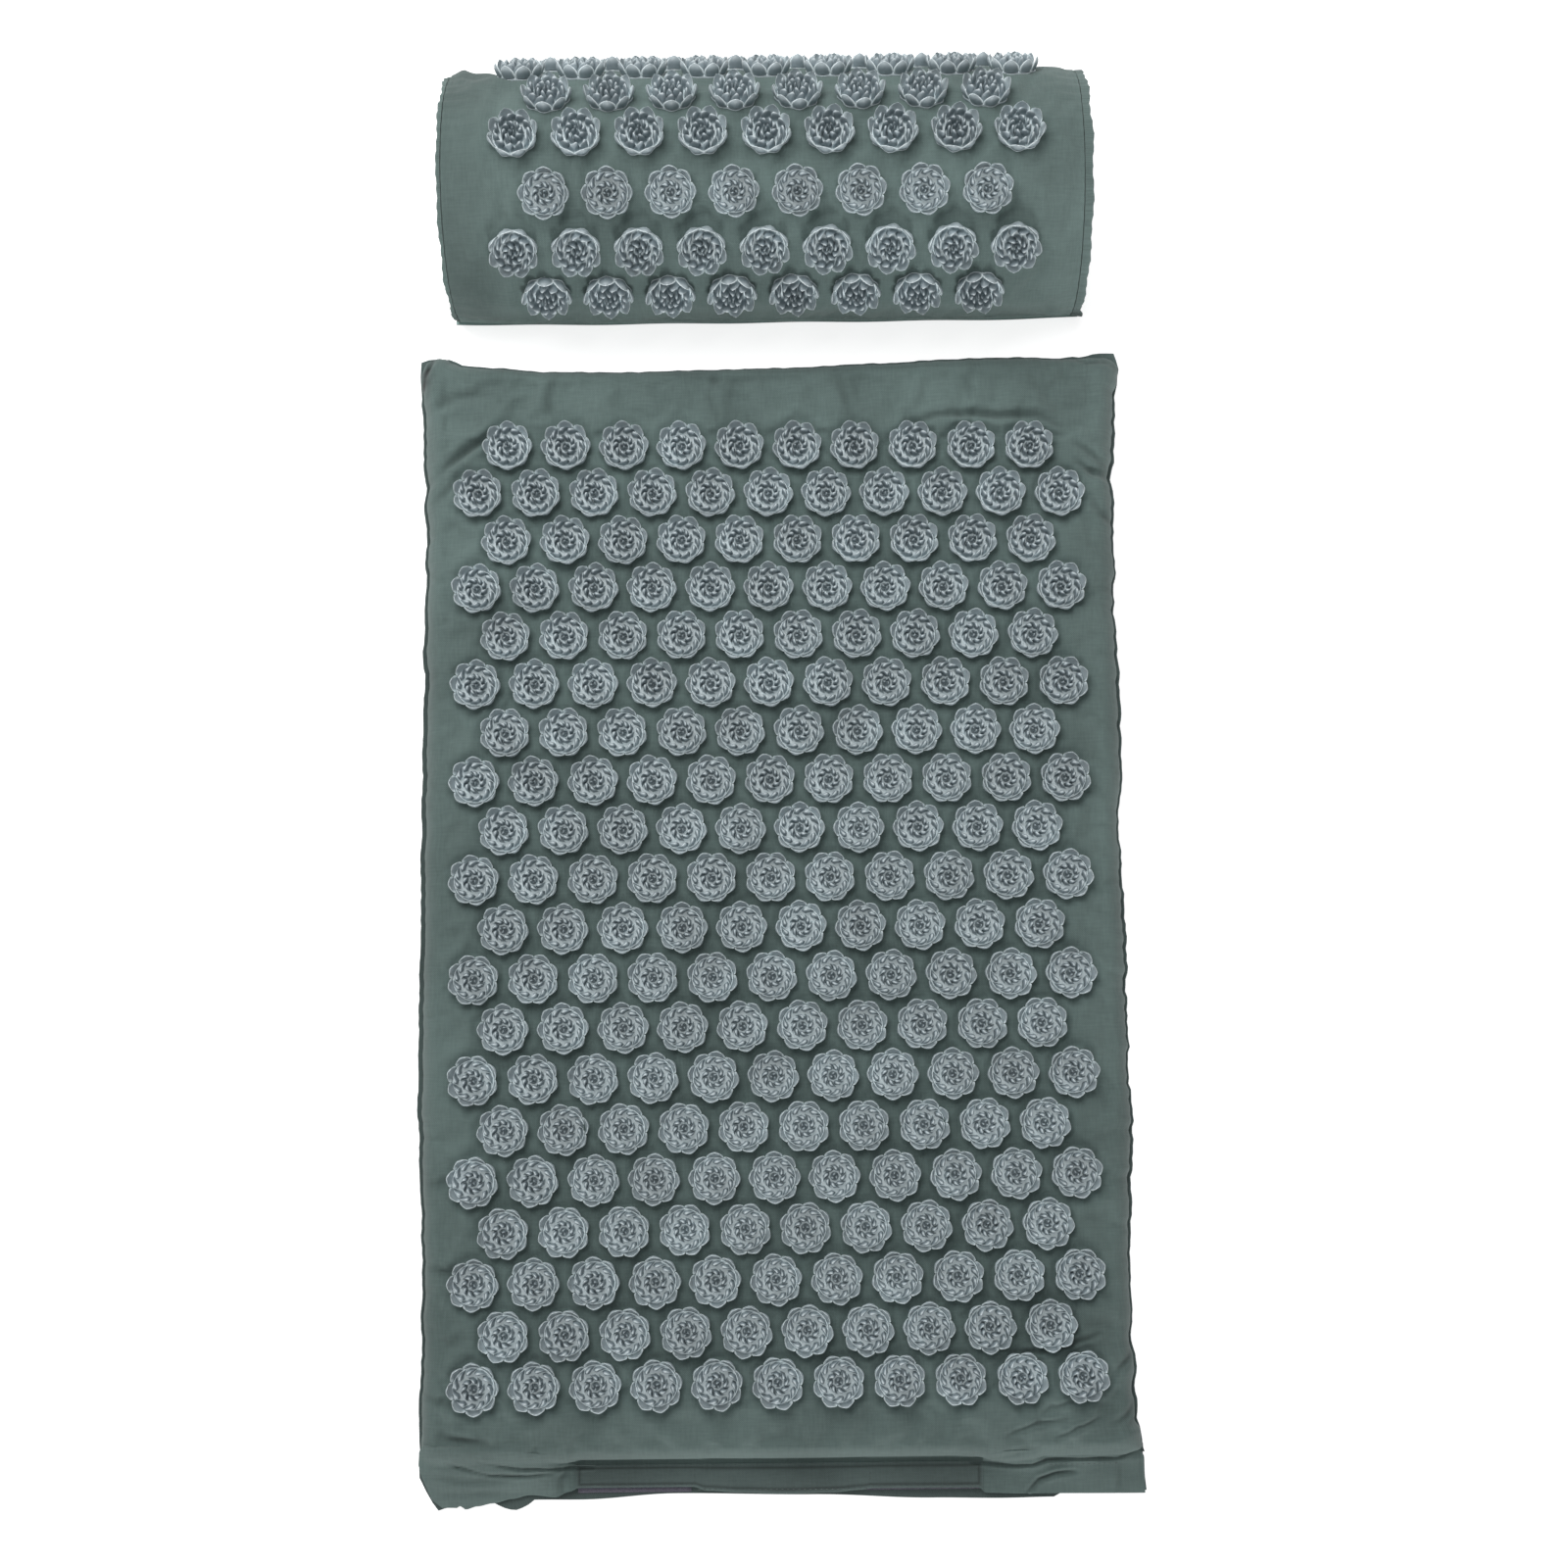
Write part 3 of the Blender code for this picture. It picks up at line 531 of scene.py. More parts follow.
# The mat's own creases: their paths in millimetres, depth and width
MAT_CREASES = (
    (((-200, 174), (-185, 186), (-168, 199)), 3.0, 2.6),
    (((-203, 155), (-192, 168), (-186, 178)), 1.6, 3.2),
    (((-205, 214), (-190, 222), (-172, 226)), 1.4, 3.6),
    (((84, 200), (103, 207), (121, 208), (141, 206), (163, 206), (178, 200)), 2.6, 2.4),
    (((-60, 236), (-20, 232), (24, 235)), 1.2, 4.0),
    (((188, 177), (199, 170), (209, 165)), 2.6, 2.4),
    (((184, 190), (197, 180), (208, 170)), 1.8, 2.8),
    (((196, 150), (204, 143), (209, 140)), 1.6, 2.6),
    (((-206, -372), (-192, -377), (-178, -380)), 1.2, 2.6),
    (((-198, -394), (-178, -399), (-158, -401)), 0.9, 2.4),
    (((136, -352), (160, -350), (176, -343)), 1.8, 1.7),
    (((160, -349), (179, -344), (190, -341)), 1.6, 1.5),
    (((156, -382.5), (168, -380), (179, -378)), 1.2, 1.4),
    (((132, -397.5), (148, -391.5), (166, -389.5)), 1.3, 1.4),
    (((160, -400), (172, -394), (186, -389)), 1.3, 1.3),
    (((122, -411), (134, -407), (152, -404)), 1.0, 1.4),
    (((196, -362), (202, -357), (207, -352)), 1.8, 2.0),
    (((194, -392), (201, -388), (207, -380)), 1.6, 2.0),
    (((-205, -300), (-188, -304), (-176, -311)), 1.6, 3.2),
    (((-204, -252), (-190, -250), (-178, -244)), 1.4, 3.4),
    (((-30, 240), (-36, 222), (-30, 203)), 1.2, 3.0),
    (((42, 240), (46, 222), (52, 206)), 1.2, 3.0),
    (((-128, 238), (-134, 220), (-130, 206)), 1.3, 3.0),
    (((-206, 249), (-201, 240), (-206, 230), (-209, 222)), 2.6, 1.5),
    (((-194, 238.6), (-150, 237.2), (-90, 236.8), (-20, 237), (50, 237.2), (110, 237.6), (160, 238),
     (190, 239)), 0.9, 0.8),
    (((-209, 244), (-206, 236), (-207, 226)), 1.8, 1.2),
    (((-203, 240), (-203, 230), (-207, 216)), 1.2, 1.6),
    (((186, 241), (192, 237), (199, 238), (209, 234)), 1.8, 1.5),
    (((205, 247), (211, 240), (214, 232)), 2.0, 1.4),
    (((-192, -411), (-180, -414), (-166, -417)), 1.2, 1.1),
    (((-176, -409.5), (-162, -412), (-148, -414)), 1.1, 1.0),
    (((128, 240), (122, 226), (124, 214)), 1.1, 3.2),
)
# Where the side seams draw the cloth in, in millimetres along Y: left, then right
LEFT_TUCKS = (169, 136, 111, 47, -30, -102, -157, -224, -315, -336)
RIGHT_TUCKS = (171, 140, 100, 55, -46, -78, -136, -252, -282, -338, -391)
# How far the cover's edges are drawn outwards, in millimetres: the stations along each, then its offsets
LEFT_EDGE = (
    (-414, -388, -336, -315, -225, -190, -60, 10, 47, 83, 111, 123, 136, 157, 169, 181, 212, 225, 234,
     252),
    (0.0, -1.2, -2.2, -1.8, 0.2, 0.4, 0.2, -0.6, -0.9, 0.6, -0.9, 1.0, -1.3, 1.3, -0.4, 0.9, 2.2, 4.0,
     5.4, 5.0),
)
RIGHT_EDGE = (
    (-414, -408, -404, -398, -391, -382, -372, -362, -339, -301, -282, -252, -229, -137, -78, -46, -20,
     20, 55, 78, 100, 116, 140, 158, 171, 182, 212, 221, 229, 236, 246),
    (5.6, 4.4, 3.2, 2.4, -2.0, -1.0, -2.8, -1.0, -2.8, -1.8, -1.8, -0.6, 1.0, 0.4, -0.2, -1.2, 1.4, 1.4,
     1.0, 1.0, -0.2, 2.0, 0.4, 1.8, -1.0, 2.4, 4.0, 4.4, 6.8, 9.0, 6.6),
)
HEAD_EDGE = (
    (-216, -208, -204.8, -200.5, -196, -192, -186, -172, -135, -87, -38, 10, 71, 110, 132, 160, 176, 186,
     196, 205, 212, 216),
    (5.4, 6.2, 7.8, 8.6, 7.4, 4.4, 1.8, 0.4, -2.8, -3.6, -2.8, -2.0, 0.2, 2.2, 3.0, 3.2, 2.4, 2.4, 3.0,
     4.6, 6.4, 6.6),
)
FOOT_EDGE = (
    (-216, 100, 116, 136, 147, 155, 197, 203, 216),
    (0.0, 0.0, 0.4, 2.2, 1.8, -0.8, -0.8, -2.6, -2.6),
)


# The rows of discs, and how many discs every second row has, from the first: the others have one more
MAT_ROWS, MAT_ROW_DISCS = 20, 10
PILLOW_ROWS, PILLOW_ROW_DISCS = 7, 8
# How far from a disc's middle the cloth is held by it
HELD_RADIUS = 12.6 * MM


def mat_centres(sizes):
    """The mat's disc centres, row by row from the head: 10 and 11 in turn, on staggered columns."""
    centres = []
    for row in range(MAT_ROWS):
        count = MAT_ROW_DISCS + row % 2
        for column in range(count):
            x = (column - (count - 1) / 2) * sizes.column_pitch
            centres.append((x, HEAD_Y - sizes.first_row - row * sizes.row_pitch))
    return np.array(centres)


def pulled(centres):
    """The disc centres as the worked cloth carries them.

    The cloth has been pulled slightly askew: along Y by a slope and a twist, and along X by a bow. u and v
    run from -1 to 1 over the field, and the terms are in millimetres.
    """
    x, y = centres[:, 0], centres[:, 1]
    u, v = x / 0.200, (y + 0.085) / 0.330
    moved_x = -0.9 + 1.6 * v**2 + 1.2 * u**3
    moved_y = 0.8 + 1.0 * v - 2.4 * u * v
    return np.stack([x + moved_x * MM, y + moved_y * MM], 1)


def mat_plan(x, y, foot_drawn=1):
    """Where the cover's flat plan lies once its edges are drawn out and in.

    Each edge moves by its own curve, and by small scallops and ruffles where the seam gathers the cloth.
    The move fades out 45 mm inside the edge. The underside's foot isn't drawn out, so its foot_drawn is 0.
    """
    half, foot, head = HALF_WIDTH, FOOT_Y, HEAD_Y
    scallop = 0.35 * MM * np.abs(np.sin(math.pi * y / (9 * MM)))
    ruffle = 0.9 * MM * wander(y, 0 * y, 24 * MM, 41) + 0.5 * MM * wander(y, 0 * y, 11 * MM, 42)
    left = edge_curve(y, *LEFT_EDGE) + scallop + ruffle
    ruffle = 1.1 * MM * wander(y, 0 * y, 27 * MM, 43) + 0.6 * MM * wander(y, 0 * y, 12 * MM, 44)
    right = edge_curve(y, *RIGHT_EDGE) + scallop + ruffle
    top = edge_curve(x, *HEAD_EDGE) + 0.3 * MM * np.abs(np.sin(math.pi * x / (10 * MM)))
    fade = 45 * MM
    side_share = np.clip(1 - (half - np.abs(x)) / fade, 0, None) ** 2
    head_share = np.clip(1 - (head - y) / fade, 0, None) ** 2
    foot_share = foot_drawn * np.clip(1 - (y - foot) / (16 * MM), 0, None) ** 2
    plan_y = y + top * head_share - edge_curve(x, *FOOT_EDGE) * foot_share
    return x + np.where(x < 0, -left, right) * side_share, plan_y


def head_corner(x, y, reach):
    """1 at either head corner of the flat plan, fading to 0 at a reach from it."""
    return 1 - smooth_step(np.hypot(HALF_WIDTH - np.abs(x), HEAD_Y - y), 0.3 * reach, reach)


def foot_ease(x, y):
    """How far the cover's foot sags at the right, where its filling ends and the fold runs into the lip."""
    return 4 * MM * smooth_step(x, 112 * MM, 150 * MM) * bell(y, FOOT_Y, 9 * MM)


def mat_height(sizes, x, y, creased=True):
    """The cover's height over its plan.

    A quarter ellipse rises from the rim across the shoulder, with a slight bulge over the whole field. The
    cloth is held down at each disc and stands a little prouder between them, and creases and seam tucks
    come on top. Behind the lip's facing the foot stands back a little, which leaves room for the lip when
    it lifts.
    """
    inset_x = HALF_WIDTH - np.abs(x)
    behind_lip = smooth_step(-np.abs(x), -124 * MM, -114 * MM)
    lip_room = 1.7 * MM * behind_lip * (1 - smooth_step(y - FOOT_Y, 4 * MM, 14 * MM))
    inset_y = np.minimum(HEAD_Y - y, y - FOOT_Y - lip_room)
    soft = 3 * MM
    inset = np.clip(-soft * np.log(np.exp(-inset_x / soft) + np.exp(-inset_y / soft)), 0, None)
    rounding = np.sqrt(np.clip(1 - np.clip(1 - inset / sizes.shoulder, 0, None) ** 2, 0, None))
    along = (2 * y - HEAD_Y - FOOT_Y) / (HEAD_Y - FOOT_Y)
    height = RIM_Z + sizes.rise * rounding + sizes.crown * (1 - (x / HALF_WIDTH) ** 2) * (1 - along**2)
    field = smooth_step(inset, 0, 20 * MM)
    away, _ = nearest(x, y, pulled(mat_centres(sizes)))
    quilt = 0.55 * MM * smooth_step(away, 14 * MM, 22 * MM) - 0.35 * MM * bell(away, 14 * MM, 2.5 * MM)
    relief = 0.30 * MM * wander(x, y, 70 * MM, 3) + 0.14 * MM * wander(x, y, 19 * MM, 4)
    height = height + field * (quilt + relief * smooth_step(away, 12 * MM, 18 * MM))
    if not creased:
        return height
    height = height - (5 * MM * head_corner(x, y, 13 * MM) + foot_ease(x, y)) * rounding
    height = height + creases(x, y, MAT_CREASES) * np.minimum(1, 1.4 * rounding)
    for tucks, side in ((LEFT_TUCKS, -1), (RIGHT_TUCKS, 1)):
        reach = np.clip(HALF_WIDTH - side * x, 0, None)
        for number, tuck in enumerate(tucks):
            slope = 0.35 * math.sin(number * 2.4)
            line = y - tuck * MM - slope * reach
            valley = bell(line, 0, 2.6 * MM) - 0.5 * bell(np.abs(line), 5 * MM, 3 * MM)
            height = height - 1.5 * MM * valley * np.exp(-reach / (13 * MM)) * rounding
    return height


def mat_cloth(sizes, x, y, creased=True):
    """The cover's outer face over its flat plan."""
    plan_x, plan_y = mat_plan(x, y)
    return np.stack([plan_x, plan_y, mat_height(sizes, x, y, creased)], -1)


def settled_mat(context, sizes):
    """How the cover settles, held at its border and under each disc, as a function of x and y."""
    pitch = 3.6 * MM
    across = np.linspace(-HALF_WIDTH, HALF_WIDTH, round(2 * HALF_WIDTH / pitch))
    along = np.linspace(FOOT_Y, HEAD_Y, round((HEAD_Y - FOOT_Y) / pitch))
    y, x = np.meshgrid(along, across)
    away, _ = nearest(x, y, pulled(mat_centres(sizes)))
    inset = np.minimum(HALF_WIDTH - np.abs(x), np.minimum(HEAD_Y - y, y - FOOT_Y))
    held = (away < HELD_RADIUS) | (inset < 8 * MM)
    cloth = mat_cloth(sizes, x, y, creased=False)
    moved = settled(context, "settling_mat_cloth", cloth, held, growth=0.035, pressure=2.0, most=3 * MM)

    def at(x, y):
        rows = (x + HALF_WIDTH) / (2 * HALF_WIDTH) * (len(across) - 1)
        columns = (y - FOOT_Y) / (HEAD_Y - FOOT_Y) * (len(along) - 1)
        return resampled(moved, rows, columns)

    return at


def spaced_edges(low, high, shoulder, pitches, steps=9):
    """Places from low to high: cosine steps across each shoulder, so that its curve stays round.

    Between the shoulders they are even within each zone, given as the share where it ends and its pitch.
    """
    curve = shoulder * (1 - np.cos(np.linspace(0, math.pi / 2, steps)))
    start, reach = low + shoulder, high - low - 2 * shoulder
    field, begun = [], 0
    for ended, pitch in pitches:
        count = max(2, round((ended - begun) * reach / pitch))
        field.append(start + reach * np.linspace(begun, ended, count, endpoint=False))
        begun = ended
    return np.concatenate([low + curve[:-1], *field, [high - shoulder], (high - curve[:-1])[::-1]])


# Lotus discs


def petal(half_width, depth, wall, tip_out, height, levels, painted_lightness):
    """One petal as a closed pointed shell, its inner side hollow.

    Its level sections are crescents: the outer arc bulges by the depth and the inner one by a wall less.
    From the base to the tip a crescent's width follows its share in levels, and its chord moves outwards
    to tip_out. Coordinates are (across, outwards, up). It returns points, triangles and each point's
    painted tone, from a hollow's painted shade at 0 to an edge's painted light at 1, by the painted tones
    of its foot, sides, body, hollow and tip. The body is painted a little lighter towards its top, where
    more light falls.
    """
    foot, sides, body, hollow, tip = painted_lightness
    outer = np.array([-1, -0.78, -0.4, 0, 0.4, 0.78, 1])
    inner = np.array([0.6, -0.6])
    side = np.concatenate([outer, inner])
    bulge = np.concatenate([depth * (1 - outer**2), (depth - wall) * (1 - inner**2)])
    rings, edges = [], []
    for up, wide in levels:
        level = np.full(9, height * up)
        rings.append(np.stack([half_width * wide * side, bulge * wide + tip_out * up, level], 1))
        # Painted light: each level's outer face is made lighter towards the top
        face = body + 0.3 * (sides - body) * smooth_step(up, 0.3, 0.75)
        edges.append([sides, *[face] * 5, sides, hollow, hollow] if up > 0 else [foot] * 7 + [hollow] * 2)
    count = len(levels)
    points = np.concatenate([*rings, [[0, tip_out + 0.1 * depth, height]]])
    quads = grid_quads(count, 9, joined=True)
    last = (count - 1) * 9
    top = np.array([[last + i, last + (i + 1) % 9, count * 9] for i in range(9)])
    base = np.array([[0, i + 1, i] for i in range(1, 8)])
    triangles = np.concatenate([quads[:, [0, 2, 1]], quads[:, [0, 3, 2]], top, base])
    return points, turned_out(points, triangles), np.concatenate([*edges, [tip]])


def blade(head, tail, begin, advance, half_width, height):
    """One spike as a closed blade, placed on its disc.

    Its level sections are commas. Each runs from a round head at one radius to a pointed tail at another,
    and turns about the disc by its advance on the way, slowly at first. Towards the tip a section grows
    shorter and narrower round a place less than half way along. It returns points, triangles and each
    point's painted tone: painted light at its foot, where it runs into the plate, grey on its sides as
    painted shade, and painted light along the ends that rise to the tip.
    """
    shares = np.array([0, 0.07, 0.3, 0.65, 1, 0.65, 0.3, 0.07])
    widths = np.array([0, 0.7, 1, 0.78, 0, -0.78, -1, -0.7]) * half_width
    summit = 0.4

    def centre_line(share):
        turn = begin + advance * np.clip(share, 0, None) ** 1.5
        radius = head + (tail - head) * share
        return np.stack([radius * np.sin(turn), radius * np.cos(turn)], -1)

    rings, edges = [], []
    # Each section's height, length and width, and the painted tone of its sides and of its ends
    levels = ((0, 1.08, 1.12, 0.82, 0.86), (0.4, 0.94, 0.86, 0.36, 0.5), (0.8, 0.62, 0.56, 0.46, 0.62))
    for up, long, wide, side, end in levels:
        along = summit + (shares - summit) * long
        way = centre_line(along + 0.01) - centre_line(along)
        way /= np.linalg.norm(way, axis=1, keepdims=True)
        across = np.stack([-way[:, 1], way[:, 0]], 1)
        plan = centre_line(along) + across * (widths * wide)[:, None]
        rings.append(np.column_stack([plan, np.full(8, height * up)]))
        edges.append([end, side, side, side, end, side, side, side])
    tip = centre_line(np.array([summit]))[0]
    points = np.concatenate([*rings, [[*tip, height]]])
    quads = grid_quads(3, 8, joined=True)
    top = np.array([[16 + i, 16 + (i + 1) % 8, 24] for i in range(8)])
    base = np.array([[0, i + 1, i] for i in range(1, 7)])
    triangles = np.concatenate([quads[:, [0, 2, 1]], quads[:, [0, 3, 2]], top, base])
    return points, turned_out(points, triangles), np.concatenate([*edges, [0.8]])


def stacked(parts):
    """Several (points, triangles, edges) joined as one: the edges are each point's painted light and shade.
    """
    points, triangles, edges = [], [], []
    start = 0
    for part_points, part_triangles, part_edges in parts:
        points.append(part_points)
        triangles.append(part_triangles + start)
        edges.append(part_edges)
        start += len(part_points)
    return np.concatenate(points), np.concatenate(triangles), np.concatenate(edges)


def turned(part, turn):
    """A part of the disc, turned about the disc's middle."""
    points, triangles, edges = part
    cos, sin = math.cos(turn), math.sin(turn)
    return points @ np.array([[cos, sin, 0], [-sin, cos, 0], [0, 0, 1]]), triangles, edges


def plate(rim, lobe, rise, below):
    """The disc's plate: a low closed drum with eight lobes, a round rim painted light and a web inside it
    painted pale, for the light that comes through it.

    Each lobe is a bulge of a squared cosine beyond the rim's radius.
    """
    count = 40
    turn = np.linspace(0, 2 * math.pi, count, endpoint=False)
    lobed = rim + 0.2 * MM + lobe * np.cos(4 * turn) ** 2
    # The section from the underside up over the rim to the middle: radius, height and painted tone, with
    # painted shade under the rim and painted light on the rim and the web
    profile = (
        (lobed, -below, 0.25), (lobed, rise * 0.35, 0.8), (lobed - 0.45 * MM, rise * 0.4, 0.45),
        (rim + 0.1 * MM, rise * 0.4, 0.5), (rim - 0.2 * MM, rise, 1.0), (rim - 0.7 * MM, rise, 0.84),
        (2.7 * MM, rise, 0.84), (2.3 * MM, rise, 0.5),
    )
    rings = []
    for radius, z, _ in profile:
        rings.append(np.stack([radius * np.sin(turn), radius * np.cos(turn), np.full(count, z)], 1))
    last = len(profile) * count
    points = np.concatenate([*rings, [[0, 0, -below], [0, 0, rise]]])
    quads = grid_quads(len(profile), count, joined=True)
    ahead = (np.arange(count) + 1) % count
    low = np.stack([np.arange(count), ahead, np.full(count, last)], 1)
    high = np.stack([last - count + ahead, last - count + np.arange(count), np.full(count, last + 1)], 1)
    triangles = np.concatenate([quads[:, [0, 1, 2]], quads[:, [0, 2, 3]], low, high])
    edges = np.concatenate([np.repeat([painted_lightness for _, _, painted_lightness in profile], count), [0.2, 0.4]])
    return points, turned_out(points, triangles), edges


def lotus_disc(sizes):
    """One lotus disc at the origin: its plate, eight broad outer petals and 22 blades.

    The outer petals stand on the plate's rim and lean out over it. Eleven blades wind one way round the
    disc, the eight inside them the other way, and three stand in the middle.
    """
    rise = 1.2 * MM
    high = sizes.petal_height - rise
    levels = ((0, 0.96), (0.28, 1.1), (0.52, 1.05), (0.76, 0.72), (0.91, 0.32))
    broad = petal(
        half_width=4.5 * MM,
        depth=2.3 * MM,
        wall=0.5 * MM,
        tip_out=3.1 * MM,
        height=high * 0.92,
        levels=levels,
        painted_lightness=(0.5, 1, 0.45, 0.64, 1),
    )
    broad = (broad[0] + (0, sizes.disc_radius - 3.7 * MM, 0), *broad[1:])
    # Each blade by its head's and tail's radius, where it begins, how far it winds and its half width
    outer = blade(8.4 * MM, 11.7 * MM, math.radians(-7), math.radians(34), 1.6 * MM, high)
    inner = blade(3.3 * MM, 7.1 * MM, math.radians(10), math.radians(-46), 1.5 * MM, high)
    middle = blade(0.4 * MM, 2.6 * MM, 0, math.radians(60), 0.85 * MM, high)
    parts = [plate(rim=12.3 * MM, lobe=1.4 * MM, rise=rise, below=1.0 * MM)]
    for shape, count, start in ((broad, 8, 0), (outer, 11, 0.2), (inner, 8, 0.5), (middle, 3, 0.9)):
        for i in range(count):
            points, triangles, edges = turned(shape, start + 2 * math.pi * i / count)
            parts.append((points + (0, 0, rise * 0.8), triangles, edges))
    return stacked(parts)


def disc_row(context, name, disc, origins, across, along, up, turns, node):
    """One row of discs, each set at its origin on its own axes and turned about the upward one."""
    points, triangles, edges = disc
    count = len(origins)
    cos, sin = np.cos(turns)[:, None], np.sin(turns)[:, None]
    a = points[None, :, 0] * cos - points[None, :, 1] * sin
    b = points[None, :, 0] * sin + points[None, :, 1] * cos
    placed = origins[:, None] + a[..., None] * across[:, None] + b[..., None] * along[:, None]
    placed = placed + points[None, :, 2, None] * up[:, None]
    numbers = triangles[None] + (np.arange(count) * len(points))[:, None, None]
    # The edge attribute carries each disc's painted light and shade
    edge = {"edge": np.tile(edges, count)}
    points, faces = placed.reshape(-1, 3), numbers.reshape(-1, 3)
    piece = new_piece(context, name, points, faces, "moulded_abs_spikes", ROOT, attributes=edge, crease=55)
    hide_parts(node)


def disc_rows(context, name, rows, fewest, origins, axes, node):
    """All the rows of discs on one cloth, with the name numbered from 1.

    Each disc is turned on from the one before it by the golden turn, so that no two neighbours look alike.
    """
    disc = lotus_disc(context.scene.mat_set_sizes)
    turns = np.arange(len(origins)) * GOLDEN_TURN
    start = 0
    for row in range(rows):
        stop = start + fewest + row % 2
        span = slice(start, stop)
        across, along, up = (axis[span] for axis in axes)
        disc_row(context, name.format(row + 1), disc, origins[span], across, along, up, turns[span], node)
        start = stop


GOLDEN_TURN = math.radians(137.508)


# Pillow shapes


class Dome:
    """The pillow cover's D section, drawn in slightly towards its ends, over (x, arc length from the top)."""

    def __init__(self, sizes):
        self.radius = sizes.pillow_radius
        self.centre = sizes.pillow_centre
        self.half = sizes.pillow_half_length
        self.left = -self.half - 1.8 * MM
        self.middle = (PILLOW_CORE_LOW.y + PILLOW_CORE_HIGH.y) / 2
        self.rim_turn = math.acos((RIM_Z - self.centre) / self.radius)
        self.reach = self.rim_turn * self.radius
        self.sizes = sizes

    # How far each row of discs is turned round the dome, in degrees from its top, from the front to the back
    ROW_TURNS = (-67.3, -43.8, -18.8, 7.4, 29.5, 55.0, 79.3)

    def centres(self):
        """The pillow's disc centres as (x, arc length), row by row from the front foot: 8 and 9 in turn.

        The wrap is sewn a little askew, which shifts each row along the pillow by less than 2 mm.
        """
        found = []
        for row in range(PILLOW_ROWS):
            count = PILLOW_ROW_DISCS + row % 2
            arc = self.radius * math.radians(self.ROW_TURNS[row])
            skew = (1.7 - 3.3 * max(0, (31 - self.ROW_TURNS[row]) / 97.5) ** 2.2) * MM
            found += [((j - (count - 1) / 2) * self.sizes.pillow_pitch + skew, arc) for j in range(count)]
        return np.array(found)

    def scale(self, x):
        past = np.clip(np.abs(x) - 0.125, 0, None) / (self.half - 0.125)
        return 1 - 0.025 * past**2

    def place(self, x, arc, lift=0):
        """The point of the dome at x and arc, lifted along the section's radius."""
        turn = arc / self.radius
        scale = self.scale(x)
        reach = self.radius + lift
        y = self.middle + scale * reach * np.sin(turn)
        height = self.centre + reach * np.cos(turn) - RIM_Z
        return np.stack([x + 0 * turn, y, RIM_Z + scale * height], -1)

    def lift(self, x, arc):
        """How far the cloth stands off the plain dome.

        Under a disc it is flat, so it rises to the disc's plane round its middle. The end seams gather the
        cloth into small folds that fade within 15 mm.
        """
        away, number = nearest(x, arc, self.centres())
        over = arc - self.centres()[number, 1]
        flat = over**2 / (2 * self.radius) - 0.25 * MM
        under_disc = 1 - smooth_step(away, 13.5 * MM, 19 * MM)
        end = np.minimum(self.half - x, x - self.left)
        bump = 3.6 * MM * bell(x, -183 * MM, 6.5 * MM) * bell(arc, 88 * MM, 13 * MM)
        fold = np.sin(2 * math.pi * arc / (9.5 * MM) + 2 * np.sin(arc / (31 * MM)))
        gather = 0.5 * MM * fold * np.exp(-end / (7 * MM))
        relief = 0.35 * MM * wander(x, arc, 60 * MM, 7) + 0.12 * MM * wander(x, arc, 15 * MM, 8)
        edge = smooth_step(self.reach - np.abs(arc), 0, 12 * MM)
        return (flat * under_disc + relief * (1 - under_disc)) * edge + (gather + bump) * edge


# How high the pillow's lip stands over its wrap: on two tapes and three gaps, and with its own cloth on them
PILLOW_LIP_FOOT = 2 * MM + 3 * GAP
PILLOW_LIP_TOP = PILLOW_LIP_FOOT + 2 * MM


def closure_axes(dome):
    """The rear lip's root, the way to its free edge and the way out, from the dome's tangent."""
    turn = dome.rim_turn - 0.015 / 2 / dome.radius
    along = np.array([0, -math.cos(turn), math.sin(turn)])
    out = np.array([0, math.sin(turn), math.cos(turn)])
    middle = dome.place(np.zeros(1), np.array([turn * dome.radius]))[0]
    down = (middle[2] + PILLOW_LIP_TOP * out[2] - RIM_Z) / along[2]
    return middle - along * down, along, out


# Pieces


